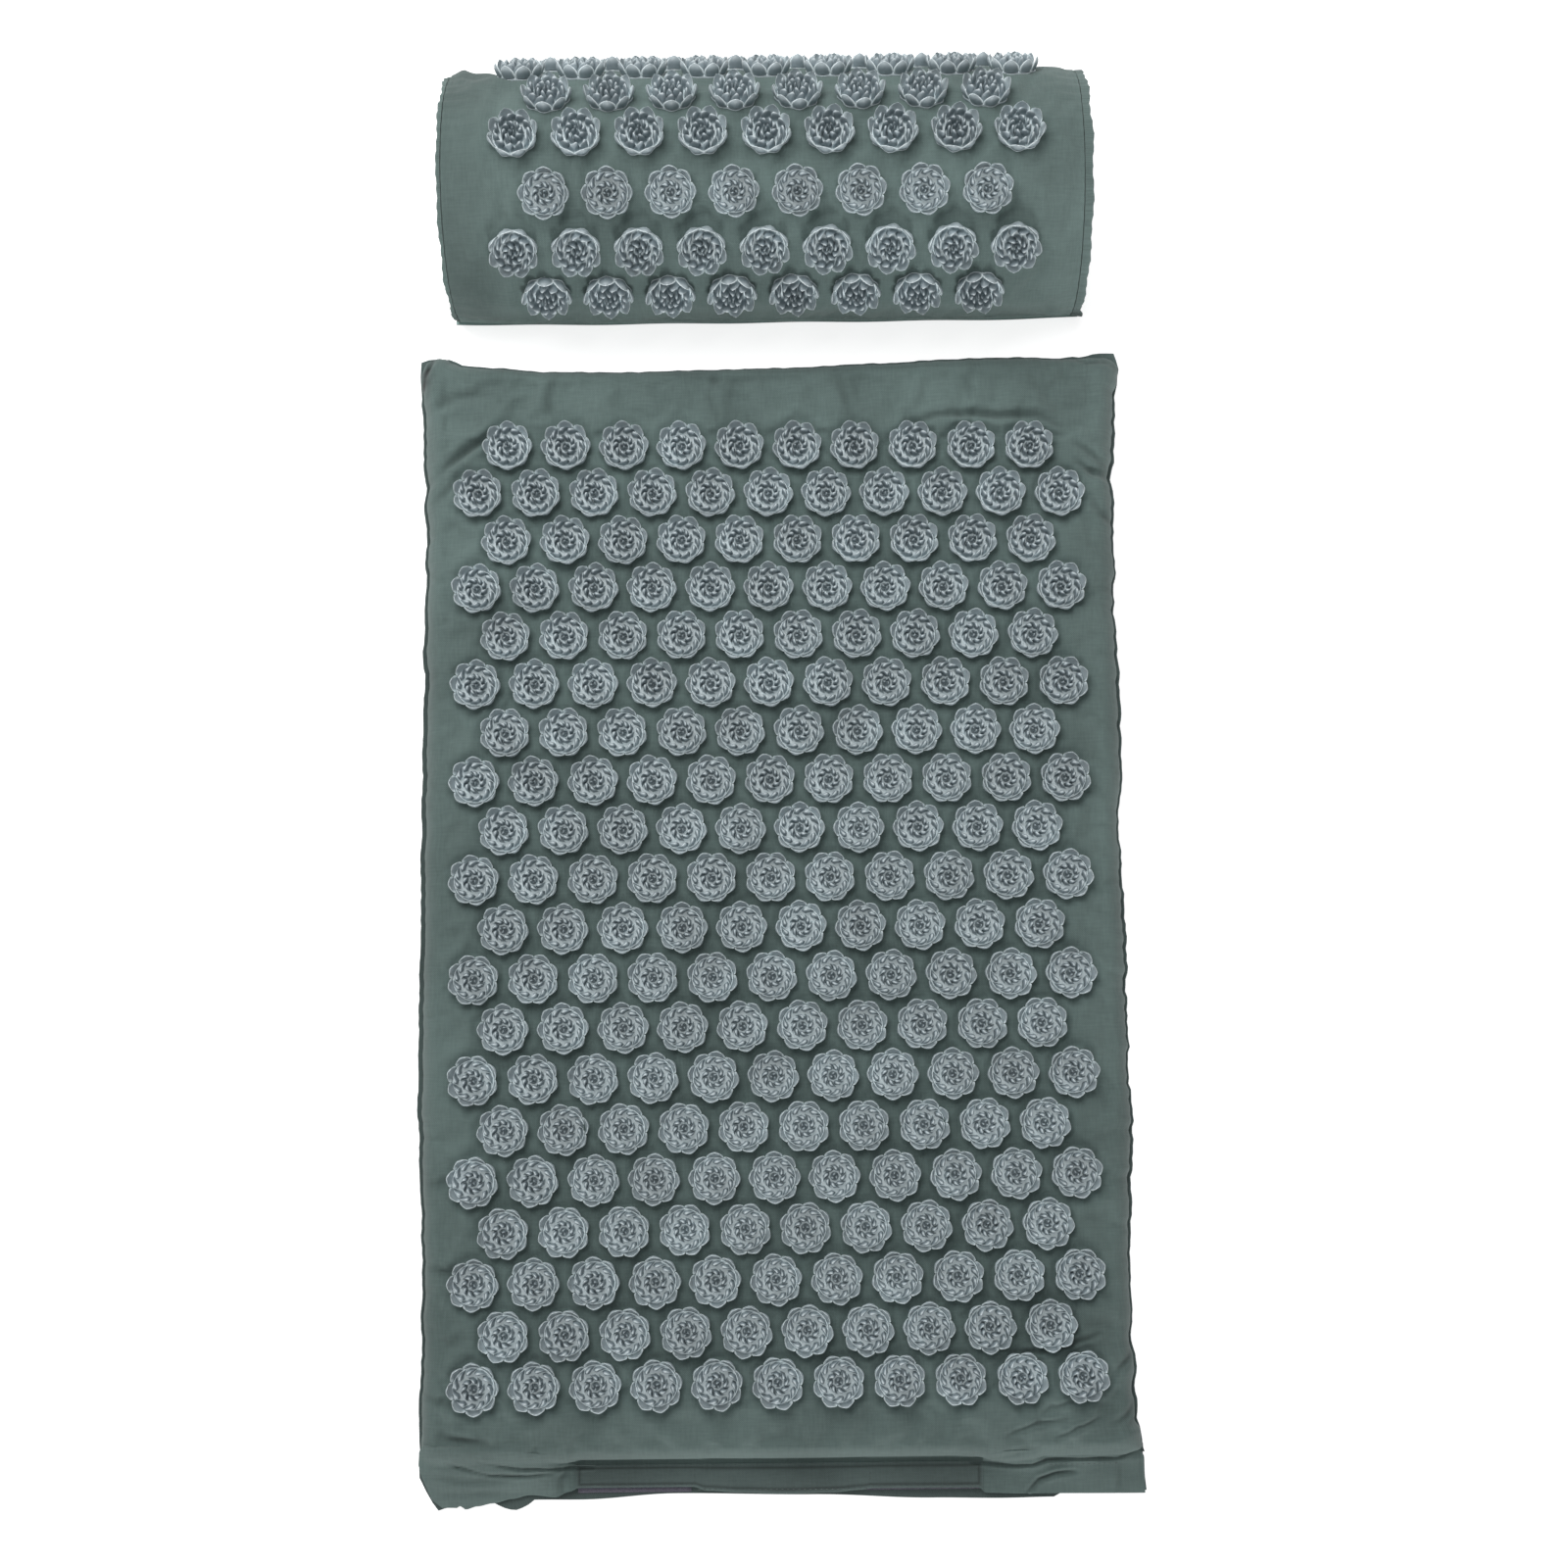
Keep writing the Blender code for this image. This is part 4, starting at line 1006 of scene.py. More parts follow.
class MATSET_OT_stage(bpy.types.Operator):
    """Makes the floor, the soft studio light and the camera of the photograph"""

    bl_idname = "matset.stage"
    bl_label = "Floor, light and camera"

    def execute(self, context):
        scene = context.scene
        scene.view_settings.view_transform = "Standard"
        mesh = bpy.data.meshes.new("floor")
        half = 12.0
        corners = [(-half, -half, 0), (half, -half, 0), (half, half, 0), (-half, half, 0)]
        mesh.from_pydata(corners, [], [(0, 1, 2, 3)])
        floor = bpy.data.objects.new("floor", mesh)
        scene.collection.objects.link(floor)
        mesh.materials.append(self.floor_paper())
        self.sky(scene)
        self.lamp(scene, "rear_softbox", (-0.6, 1.2, 1.7), size=1.8, power=36.0)
        self.lamp(scene, "front_fill", (0.4, -5.0, 0.7), size=1.6, power=150.0)
        self.camera(scene)
        return {"FINISHED"}

    def floor_paper(self):
        """Matt white paper, whose own white is added for the camera so that only the shadows show."""
        material = bpy.data.materials.new("matt_white_paper")
        material.use_nodes = True
        tree = material.node_tree
        tree.nodes.clear()
        paper = add_node(tree, "ShaderNodeBsdfDiffuse", {"Color": (0.8, 0.8, 0.8, 1)})
        white = add_node(tree, "ShaderNodeEmission", {"Color": (1, 1, 1, 1), "Strength": 0.72})
        both = add_node(tree, "ShaderNodeAddShader", {0: paper.outputs[0], 1: white.outputs[0]})
        share = self.seen(tree, "Is Glossy Ray", "Is Transmission Ray")
        mixed = add_node(tree, "ShaderNodeMixShader", {0: share, 1: paper.outputs[0], 2: both.outputs[0]})
        add_node(tree, "ShaderNodeOutputMaterial", {"Surface": mixed.outputs[0]})
        return material

    def seen(self, tree, *kinds):
        """1 for the camera's rays and the kinds that are named, and 0 for all the others."""
        rays = add_node(tree, "ShaderNodeLightPath")
        most = rays.outputs["Is Camera Ray"]
        for kind in kinds:
            pair = {0: most, 1: rays.outputs[kind]}
            most = add_node(tree, "ShaderNodeMath", pair, operation="MAXIMUM").outputs[0]
        return most

    def sky(self, scene):
        """An even pale surround, seen as plain white by the camera and in gloss."""
        world = bpy.data.worlds.new("studio_surround")
        world.use_nodes = True
        scene.world = world
        tree = world.node_tree
        tree.nodes.clear()
        share = self.seen(tree, "Is Glossy Ray")
        light = add_node(tree, "ShaderNodeBackground", {"Color": (1, 1, 1, 1), "Strength": 0.40})
        white = add_node(tree, "ShaderNodeBackground", {"Color": (1, 1, 1, 1), "Strength": 1.0})
        mixed = add_node(tree, "ShaderNodeMixShader", {0: share, 1: light.outputs[0], 2: white.outputs[0]})
        add_node(tree, "ShaderNodeOutputWorld", {"Surface": mixed.outputs[0]})

    def lamp(self, scene, name, place, size, power):
        """A square softbox that faces the middle of the frame."""
        data = bpy.data.lights.new(name, "AREA")
        data.shape = "SQUARE"
        data.size = size
        data.energy = power
        lamp = bpy.data.objects.new(name, data)
        lamp.location = place
        way = -np.array(place)
        tilt = math.acos(-way[2] / np.linalg.norm(way))
        lamp.rotation_euler = (tilt, 0, math.atan2(way[1], way[0]) - math.pi / 2)
        scene.collection.objects.link(lamp)

    def camera(self, scene):
        """The photograph's camera, about 1.4 m above the set and leaning towards the pillow."""
        data = bpy.data.cameras.new("camera")
        data.sensor_width = 36
        data.lens = 53.46
        camera = bpy.data.objects.new("camera", data)
        rx, ry, rz = (math.radians(turn) for turn in (-7.59, -0.23, 0.64))
        about_x = np.array([[1, 0, 0], [0, math.cos(rx), -math.sin(rx)], [0, math.sin(rx), math.cos(rx)]])
        about_y = np.array([[math.cos(ry), 0, math.sin(ry)], [0, 1, 0], [-math.sin(ry), 0, math.cos(ry)]])
        about_z = np.array([[math.cos(rz), -math.sin(rz), 0], [math.sin(rz), math.cos(rz), 0], [0, 0, 1]])
        turn = (about_x @ about_y @ about_z).T
        placed = np.eye(4)
        placed[:3, :3] = turn
        placed[:3, 3] = (0.011, -0.2020, 1.400)
        camera.matrix_world = placed.T
        scene.collection.objects.link(camera)
        scene.camera = camera


class MATSET_OT_mat_foam(bpy.types.Operator):
    """Makes the foam pad inside the mat's cover"""

    bl_idname = "matset.mat_foam"
    bl_label = "Mat foam"

    def execute(self, context):
        low, high = np.array(CORE_LOW), np.array(CORE_HIGH)
        centre, half = (low + high) / 2, (high - low) / 2
        turn = np.linspace(0, 2 * math.pi, 160, endpoint=False)
        corner = 10
        reach = (np.abs(np.cos(turn)) ** corner + np.abs(np.sin(turn)) ** corner) ** (-1 / corner)
        plan = np.stack([half[0] * reach * np.cos(turn), half[1] * reach * np.sin(turn)], 1)
        rings = []
        # How far each ring is set in, in millimetres, and its height as a share of the core's
        levels = ((3.0, 0), (0.8, 0.04), (0, 0.2), (0, 0.5), (2.4, 0.74), (8.0, 0.82), (80.0, 0.83))
        for inset, share in levels:
            inner = plan * (1 - inset * MM / half[:2])
            level = np.full(len(turn), low[2] + share * 2 * half[2])
            rings.append(np.column_stack([inner + centre[:2], level]))
        points, faces = tube_between(np.array(rings))
        pad = new_piece(context, "mat_foam_pad", points, faces, "open_cell_pu_foam", ROOT)
        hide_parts("mat_foam_core")
        return {"FINISHED"}


class MATSET_OT_mat_cover(bpy.types.Operator):
    """Makes the mat's cotton cover, with its creases and tucks and the ears at its head corners"""

    bl_idname = "matset.mat_cover"
    bl_label = "Mat cover"

    def execute(self, context):
        sizes = context.scene.mat_set_sizes
        fine, coarse = 1.3 * MM, 2.3 * MM
        zones = ((0.12, fine), (0.7, coarse), (1, fine))
        across = spaced_edges(-HALF_WIDTH, HALF_WIDTH, sizes.shoulder, zones)
        zones = ((0.12, fine), (0.88, coarse), (1, 1.6 * MM))
        along = spaced_edges(FOOT_Y, HEAD_Y, sizes.shoulder, zones)
        y, x = np.meshgrid(along, across)
        points = mat_cloth(sizes, x, y) + settled_mat(context, sizes)(x, y)
        faces = [*grid_quads(*x.shape).tolist(), border(*x.shape).tolist()]
        uv = np.stack([x, y], -1).reshape(-1, 2)
        edge = np.minimum(HALF_WIDTH - np.abs(x), HEAD_Y - y)
        # The cover is lighter along its edge, and painted shade makes it darker in its creases
        wear_and_painted_light = 0.12 * bell(edge, 0, 0.9 * MM) + 0.16 * np.minimum(creases(x, y, MAT_CREASES), 0) / MM
        # Painted shade: the gathered ears are darker in their folds, the left one more
        left_ear_shade = bell(x, -206 * MM, 5 * MM) * bell(y, 233 * MM, 10 * MM)
        right_ear_shade = bell(x, 204 * MM, 7 * MM) * bell(y, 244 * MM, 5 * MM)
        wear_and_painted_light = wear_and_painted_light - (left_ear_shade + 0.5 * right_ear_shade) * (0.5 + 0.4 * wander(x, y, 5 * MM, 51))
        # Painted light and shade: the cloth is a little lighter at the head and darker towards the foot, as
        # the light falls off, and it is darker in the seam beside the head edge
        down = HEAD_Y - y
        wear_and_painted_light = wear_and_painted_light + 0.05 - 0.14 * smooth_step(down, 0, 0.3) - 0.06 * smooth_step(down, 0.35, 0.64)
        wear_and_painted_light = wear_and_painted_light - 0.3 * bell(down, 1.3 * MM, 0.7 * MM)
        points, painted_and_worn, cotton = points.reshape(-1, 3), {"wear_and_painted_light": wear_and_painted_light.ravel()}, "dyed_cotton_canvas"
        cover = new_piece(context, "mat_cover", points, faces, cotton, ROOT, uv, painted_and_worn, crease=80)
        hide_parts("mat_top_panel")
        return {"FINISHED"}


class MATSET_OT_mat_discs(bpy.types.Operator):
    """Makes the mat's twenty rows of lotus spike discs"""

    bl_idname = "matset.mat_discs"
    bl_label = "Mat discs"

    def execute(self, context):
        sizes = context.scene.mat_set_sizes
        centres = pulled(mat_centres(sizes))
        cloth = mat_cloth(sizes, centres[:, 0], centres[:, 1])
        draws = np.random.default_rng(12)
        tilts = draws.normal(0, 0.02, (len(centres), 2))
        up = np.column_stack([tilts, np.ones(len(centres))])
        up /= np.linalg.norm(up, axis=1, keepdims=True)
        across = np.column_stack([np.ones(len(centres)), np.zeros(len(centres)), -tilts[:, 0]])
        across /= np.linalg.norm(across, axis=1, keepdims=True)
        along = np.cross(up, across)
        axes = (across, along, up)
        disc_rows(context, "mat_spike_row_{:02d}", MAT_ROWS, MAT_ROW_DISCS, cloth, axes, "mat_top_panel")
        return {"FINISHED"}


class MATSET_OT_mat_underside(bpy.types.Operator):
    """Makes the mat's bottom panel, whose edge shows round the cover and whose foot is the lower lip"""

    bl_idname = "matset.mat_underside"
    bl_label = "Mat underside"

    def execute(self, context):
        across = np.linspace(-1, 1, 121)
        along = np.linspace(0, 1, 181)
        q, p = np.meshgrid(along, across)
        x = p * HALF_WIDTH
        y = FOOT_Y + q * (HEAD_Y - FOOT_Y)
        left_more = 1.7 * MM + 1.0 * MM * smooth_step(-np.abs(y + 80 * MM), -190 * MM, -120 * MM)
        left_more = left_more - 1.1 * MM * smooth_step(-y, 392 * MM, 408 * MM)
        right_more = 1.3 * MM + 0.5 * MM * np.sin(y / (23 * MM))
        right_more = right_more - 1.2 * MM * smooth_step(-y, 380 * MM, 400 * MM)
        corner = head_corner(x, y, 26 * MM)
        left_more, right_more = left_more * (1 - 0.6 * corner), right_more * (1 - 0.6 * corner)
        plan_x, plan_y = mat_plan(x, y, foot_drawn=0)
        side = np.clip((np.abs(p) - 0.97) / 0.03, 0, 1)
        head = np.clip((q - 0.98) / 0.02, 0, 1)
        plan_x = plan_x + np.where(p < 0, -left_more, right_more) * side
        plan_y = plan_y + edge_curve(x, *HEAD_BAND) * head
        lip = np.clip((0.03 - q) / 0.03, 0, 1)
        plan_y = plan_y + lip * (under_lip_edge(x) - FOOT_Y)
        head_up = (1.2 + 0.5 * np.sin(x / (2.4 * MM))) * MM * head
        turned_up = np.maximum(2.8 * MM * side**2 * (1 - corner), head_up)
        grid = np.stack([plan_x, plan_y, CLOTH + turned_up * (1 - lip)], -1)
        plan = np.stack([x, y], -1)
        # Painted light: the head band, beside the cover's shadow, is made lighter; the right side is lighter
        # too
        lighter = np.where(p > 0, 0.4, 0.0) * side + 0.5 * head
        cotton = "dyed_cotton_underside"
        sheet = cloth_piece(context, "mat_underside", grid, PANEL, plan, lighter, cotton, ROOT, 70)
        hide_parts("mat_bottom_panel")
        return {"FINISHED"}


# How far the underside shows beyond the cover's head edge, along X
HEAD_BAND = (
    (-216, -198, -192, -60, 60, 150, 182, 188, 190, 193, 196, 203, 208, 213, 216),
    (0.5, 0.5, 2.6, 2.8, 2.8, 2.6, 2.4, 3.2, 3.2, 1.6, 3.9, 3.4, 2.2, 0.7, 0.6),
)


def lip_free_edge(x):
    """The lip's free edge: drawn back a little at the tapes and hanging down at the left corner."""
    stations = (
        -212, -196.4, -192.7, -189.5, -185.5, -176.3, -166.5, -155, -145, -130, -122, -116, -50, -42, -20,
        3, 31, 48, 54, 116, 120, 140, 216,
    )
    places = (
        -438, -438.1, -438.2, -437, -439.1, -437.4, -435.8, -433.4, -431.4, -432.6, -429.4, -427.3,
        -427.3, -429.6, -431, -432, -431.4, -430, -429.2, -429.4, -432.4, -433, -433.4,
    )
    return edge_curve(x, stations, places)


def soft_highest(a, b, reach):
    """The higher of two heights, with a rounded change from one to the other that is as wide as reach."""
    most = np.maximum(a, b)
    return most + reach * np.log(np.exp((a - most) / reach) + np.exp((b - most) / reach))


def lip_surface(sizes, x, y):
    """The height of the closure's cloth, which runs down from the cover and on to the lip's free edge.

    Above the root it lies just inside the cover, so that the two meet without a seam. At its left end it
    runs in one slope from the top of the cover, where nothing presses it flat. Below the root it lies flat
    over the tapes and waves slightly between them.
    """
    root = LIP_HIGH.y
    share = np.clip((root - y) / (root - lip_free_edge(x)), 0, 1)
    left_tape = smooth_step(-np.abs(x + 83 * MM), -40 * MM, -33 * MM)
    right_tape = smooth_step(-np.abs(x - 85 * MM), -40 * MM, -31 * MM)
    free = (1 - np.maximum(left_tape, right_tape)) * np.sin(math.pi * share)
    wave = free * (0.2 * MM + 0.45 * MM * wander(x, y, 34 * MM, 21))
    left = smooth_step(-x, 120 * MM, 140 * MM)
    right = smooth_step(x, 120 * MM, 150 * MM)
    puff = left * (1 - share) ** 1.3 * (8.5 * MM + 1.5 * MM * wander(x, y, 26 * MM, 22))
    puff = puff + right * (1 - share) ** 2 * (3.6 * MM + 1.5 * MM * wander(x, y, 22 * MM, 23))
    slope = left * 0.5 * np.clip(y - root, 0, None)
    droop = left * share**2 * 2.4 * MM
    lip = LIP_HIGH.z + wave + puff - droop + slope
    drawn = y + edge_curve(x, *FOOT_EDGE)
    inside_x, inside_y = np.clip(x, -HALF_WIDTH, HALF_WIDTH), np.clip(drawn, FOOT_Y, HEAD_Y)
    cover = mat_height(sizes, inside_x, inside_y) - 0.7 * MM
    cover = np.where(drawn < FOOT_Y, RIM_Z - (FOOT_Y - drawn) * 2, cover)
    reach = (0.5 + 2.6 * left + 0.3 * right) * MM
    return soft_highest(cover, lip, reach) + creases(x, y, LIP_CREASES)


# Creases of the closure's own cloth: their paths in millimetres, depth and width
LIP_CREASES = (
    (((-192, -411), (-180, -415), (-168, -418.5), (-145, -419.5), (-131, -418)), 1.3, 1.0),
    (((-174, -410.5), (-150, -415), (-128, -415.8), (-108, -415.3)), 1.1, 0.9),
    (((-206, -418), (-180, -422), (-150, -420)), 0.7, 2.4),
    (((-196, -430), (-172, -429), (-150, -431)), 0.6, 2.2),
    (((-124, -417), (-127, -422), (-127, -431)), 1.2, 1.6),
    (((144, -432.4), (151, -425), (160, -422), (172, -420.5)), 1.8, 1.3),
    (((112, -414.6), (122, -415.6), (136, -417), (147, -416.6), (155, -413.6), (176, -413.2), (197, -413),
     (204, -409)), 1.3, 0.9),
    (((197, -412), (197.5, -424), (197, -433)), 0.8, 1.4),
    (((209.4, -410), (209.8, -422), (209.6, -433)), 0.6, 0.8),
)


def under_lip_edge(x):
    """The lower lip's free edge: it shows below the upper one at its ends and at x = -155 mm."""
    stations = (
        -211, -206.8, -203.2, -198, -193.4, -186, -172, -166, -161, -154, -148, -143, -138, -116, -60, 20,
        90, 130, 160, 166, 216,
    )
    places = (
        -416, -424, -434, -440, -438.6, -436, -434, -435.6, -438.8, -440.2, -438.6, -434.4, -434.4,
        -434.6, -431.6, -433, -435.6, -436.2, -435.8, -432.6, -432.6,
    )
    return edge_curve(x, stations, places)


def facing_lift(share):
    """How far the facing's top stands over the lip's cloth, from its root, 0, to its free edge, 1."""
    return 0.5 * MM + 0.25 * MM * np.sin(math.pi * np.clip(share, 0, 1)) ** 0.5


class MATSET_OT_mat_closure(bpy.types.Operator):
    """Makes the mat's closure: the hinged lip, its dark facing, its tapes and the stitching through it"""

    bl_idname = "matset.mat_closure"
    bl_label = "Mat closure"

    def execute(self, context):
        sizes = context.scene.mat_set_sizes
        lip = self.cloth(context, sizes)
        facing = self.facing(context, sizes)
        stitching = self.stitches(context, sizes)
        axes = (np.array((0.0, 1.0, 0.0)), np.array((0.0, 0.0, 1.0)))
        tape_strips(context, "mat", MAT_LIP, axes, longer=2.6 * MM)
        return {"FINISHED"}

    def cloth(self, context, sizes):
        """From part way up the cover's foot, over the root, to the free edge."""
        share, u = np.meshgrid(np.linspace(1, 0, 31), np.linspace(0, 1, 241))
        x = -208.6 * MM + u * 420.4 * MM
        high = FOOT_Y + 6.5 * MM + 6 * MM * smooth_step(-x, 118 * MM, 185 * MM)
        y = high + (lip_free_edge(x) - high) * share
        # How far its two ends are drawn in at places down the cloth
        down = np.array([-438, -433, -422, -417, -412, -404, -396]) * MM
        in_left = np.interp(y, down, np.array([12.4, 6.8, 2.8, 1.4, 0.4, 1.2, 7.0]) * MM)
        in_right = np.interp(y, down[[0, 4, 5, 6]], np.array([-0.8, 0.2, 5.0, 9.0]) * MM)
        near_left, near_right = np.clip(1 - u * 9, 0, 1) ** 2, np.clip(u * 9 - 8, 0, 1) ** 2
        x = x + in_left * near_left - in_right * near_right
        grid = np.stack([x, y, lip_surface(sizes, x, y)], -1)
        # The lip's cloth is a little darker all over than the cover's, its hem's edge is lighter, and painted
        # shade makes it darker in its creases
        tone = 0.12 * (share > 0.97) + 0.2 * np.minimum(creases(x, y, LIP_CREASES), 0) / MM - 0.15
        plan = grid[..., :2]
        lip = cloth_piece(
            context, "mat_closure_lip", grid, 1.3 * MM, plan, tone, "dyed_cotton_canvas", None, 60
        )
        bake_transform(lip)
        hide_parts("mat_closure_flap")
        return lip

    def facing(self, context, sizes):
        """The darker strip that faces the lip between and over the tapes."""
        share, u = np.meshgrid(np.linspace(1, 0, 27), np.linspace(0, 1, 301))
        x = -118 * MM + u * 236.4 * MM
        root = LIP_HIGH.y - 0.6 * MM
        y = root + (lip_free_edge(x) + 0.15 * MM - root) * share
        grid = np.stack([x, y, lip_surface(sizes, x, y) + facing_lift(share)], -1)
        # By the distance from its edge in millimetres: pale at the edge, and darker along the stitched lines,
        # painted shade where the stitching pulls the cloth in
        rim = np.minimum(np.minimum(share, 1 - share) * 14, np.minimum(u, 1 - u) * 236)
        wear_and_painted_light = 0.3 * bell(rim, 0, 0.7) - 0.49 * bell(rim, 2.2, 0.7)
        plan, cotton = grid[..., :2], "dyed_cotton_underside"
        facing = cloth_piece(context, "mat_lip_facing", grid, 0.45 * MM, plan, wear_and_painted_light, cotton, MAT_LIP, 60)
        return facing

    def stitches(self, context, sizes):
        """The seam along the root, the rectangles that hold the tapes and the end's two bars."""
        root = LIP_HIGH.y - 1.4 * MM
        runs = [((-0.1170, root), (0.1175, root)), ((0.1560, root - 1.5 * MM), (0.1970, root - 1 * MM))]
        under = root - 1 * MM
        for low, high, foot in ((-0.1165, -0.0489, -0.4262), (0.0531, 0.1170, -0.4280)):
            runs += [((low, under), (low, foot)), ((high, under), (high, foot)), ((low, foot), (high, foot))]
        runs += [((bar, under), (bar, -0.4318)) for bar in (0.1970, 0.2095)]
        runs += [((-0.0480, -0.4288), (0.0520, -0.4292))]
        middles, ways = [], []
        for start, end in runs:
            start, end = np.array(start), np.array(end)
            way = end - start
            reach = np.linalg.norm(way)
            count = max(2, round(reach / sizes.stitch_pitch))
            middles.append(start + way * ((np.arange(count) + 0.5) / count)[:, None])
            ways.append(np.tile(way / reach, (count, 1)))
        middles, ways = np.concatenate(middles), np.concatenate(ways)
        heights = lip_surface(sizes, middles[:, 0], middles[:, 1])
        faced = (middles[:, 0] > -0.118) & (middles[:, 0] < 0.1185)
        share = (root - middles[:, 1]) / (root - lip_free_edge(middles[:, 0]))
        heights = heights + np.where(faced, facing_lift(share), 0)
        level = np.column_stack([ways, np.zeros(len(ways))])
        points, faces = stitch_row(np.column_stack([middles, heights]), level)
        thread = "spun_polyester_thread"
        piece = new_piece(context, "mat_lip_stitching", points, faces, thread, MAT_LIP, crease=80)
        return piece


def stitch_row(middles, ways, length=2.0 * MM, width=0.36 * MM, sunk=0.06 * MM):
    """Stitches as small spindles: each is four-sided, pointed at both ends and arched over its middle."""
    side = np.cross(ways, (0, 0, 1.0))
    up = np.array((0, 0, 1.0))
    points = [
        middles - ways * length / 2 - up * sunk,
        middles + side * width - up * sunk,
        middles + up * width * 0.8,
        middles - side * width - up * sunk,
        middles - up * (sunk + width * 0.5),
        middles + ways * length / 2 - up * sunk,
    ]
    points = np.stack(points, 1)
    faces = []
    for a, b in ((1, 2), (2, 3), (3, 4), (4, 1)):
        faces += [(0, a, b), (5, b, a)]
    faces = np.array(faces)
    first = points[0]
    faces = turned_out(first - first.mean(0), faces)
    numbers = faces[None] + (np.arange(len(middles)) * 6)[:, None, None]
    return points.reshape(-1, 3), numbers.reshape(-1, 3)


def tape_strips(context, item, lip, axes, longer=0):
    """A closure's hook tapes, which ride on its lip, and the loop tapes opposite them, left and right."""
    for side in ("left", "right"):
        for kind, body, more in (("hook", lip, 0), ("loop", ROOT, longer)):
            name, node = f"{item}_{kind}_strip_{side}", f"{item}_{kind}_tape_{side}"
            tape_strip(context, name, node, f"{kind}_tape", body, axes, more)


def tape_strip(context, name, node, slot, body, axes, longer):
    """A hook or loop tape in the place of its solid: a thin slab with a raised pile between its selvedges.

    The axes are the way to the lip's free edge and the way out from the cloth. The loop pile faces out and
    the hook pile the other way.
    """
    solid = np.array([v.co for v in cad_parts[node].data.vertices], float)
    along, out = axes
    across = np.array((1.0, 0.0, 0.0))
    local = np.stack([solid @ across, solid @ along, solid @ out], 1)
    low, high = local.min(0), local.max(0)
    low[1] -= longer
    v, u = np.meshgrid(np.linspace(0, 1, 13), np.linspace(0, 1, 45))
    a = low[0] + u * (high[0] - low[0])
    b = low[1] + v * (high[1] - low[1])
    border_away = np.minimum(np.minimum(a - low[0], high[0] - a), np.minimum(b - low[1], high[1] - b))
    pile = (high[2] - low[2]) * (0.55 + 0.45 * smooth_step(border_away, 0.6 * MM, 1.6 * MM))
    face, back = (low[2] + pile, low[2]) if slot == "loop_tape" else (high[2] - pile, high[2])
    flat = a[..., None] * across + b[..., None] * along
    points, faces = closed_cloth(flat + face[..., None] * out, flat + np.full(a.shape, back)[..., None] * out)
    uv = np.concatenate([np.stack([a, b], -1).reshape(-1, 2)] * 2)
    piece = new_piece(context, name, points, faces, f"nylon_{slot}", body, uv, crease=50)
    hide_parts(node)


class MATSET_OT_pillow_foam(bpy.types.Operator):
    """Makes the half-moon foam inside the pillow's cover"""

    bl_idname = "matset.pillow_foam"
    bl_label = "Pillow foam"

    def execute(self, context):
        dome = Dome(context.scene.mat_set_sizes)
        turn = np.linspace(-dome.reach, dome.reach, 49)
        stations = np.array([-186, -185, -160, -120, -60, 0, 60, 120, 160, 185, 186]) * MM
        shares = np.array([0.96, 1, 1, 1, 1, 1, 1, 1, 1, 1, 0.96])
        rings = []
        for x, share in zip(stations, shares):
            ring = dome.place(np.full(turn.shape, x), turn, -2.2 * MM)
            ring[:, 2] = np.maximum(ring[:, 2], RIM_Z + 0.5 * MM)
            middle = np.array([x, dome.middle, 0.045])
            rings.append(middle + (ring - middle) * share)
        points, faces = tube_between(np.array(rings))
        pad = new_piece(context, "pillow_foam_pad", points, faces, "open_cell_pu_foam", ROOT, crease=50)
        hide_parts("pillow_foam_core")
        return {"FINISHED"}


class MATSET_OT_pillow_cover(bpy.types.Operator):
    """Makes the pillow's cotton wrap over its dome"""

    bl_idname = "matset.pillow_cover"
    bl_label = "Pillow cover"

    # The points along the pillow and round its dome, of the cover's grid and of the one that settles
    FINE, COARSE = (181, 113), (95, 61)

    def execute(self, context):
        dome = Dome(context.scene.mat_set_sizes)
        arcs, xs = self.grid(dome, *self.FINE)
        skin = dome.place(xs, arcs, dome.lift(xs, arcs)) + self.settled(context, dome)
        edge = np.minimum(dome.half - xs, xs - dome.left)
        foot = dome.reach + arcs
        # Painted light: the wrap is made much lighter along its foot, where light from the floor falls on it;
        # it is also lighter at its seams and darker towards its left end
        light = 0.06 * bell(edge, 0, 1.0 * MM) + 1.9 * bell(foot, 0, 13 * MM)
        light = light - 0.19 * smooth_step(-xs, 150 * MM, 176 * MM)
        plan, cotton = np.stack([xs, arcs], -1), "dyed_cotton_canvas"
        cover = cloth_piece(context, "pillow_cover", skin, CLOTH, plan, light, cotton, ROOT, 80)
        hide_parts("pillow_wrap_panel")
        return {"FINISHED"}

    def grid(self, dome, along, around):
        """An even grid of arc lengths and x over the dome."""
        x = np.linspace(dome.left, dome.half, along)
        return np.meshgrid(np.linspace(-dome.reach, dome.reach, around), x)

    def settled(self, context, dome):
        """The wrap's settling, read at the cover's own grid: held at its seams and under each disc."""
        arcs, xs = self.grid(dome, *self.COARSE)
        away, _ = nearest(xs, arcs, dome.centres())
        end = np.minimum(dome.half - xs, xs - dome.left)
        held = (away < HELD_RADIUS) | (end < 5 * MM) | (dome.reach - np.abs(arcs) < 6 * MM)
        skin = dome.place(xs, arcs, dome.lift(xs, arcs))[:, ::-1]
        limits = {"growth": 0.02, "pressure": 2.0, "most": 2 * MM}
        moved = settled(context, "settling_pillow_cloth", skin, held[:, ::-1], **limits)[:, ::-1]
        rows, columns = (np.linspace(0, most - 1, count) for most, count in zip(self.COARSE, self.FINE))
        return resampled(moved, *np.meshgrid(rows, columns, indexing="ij"))


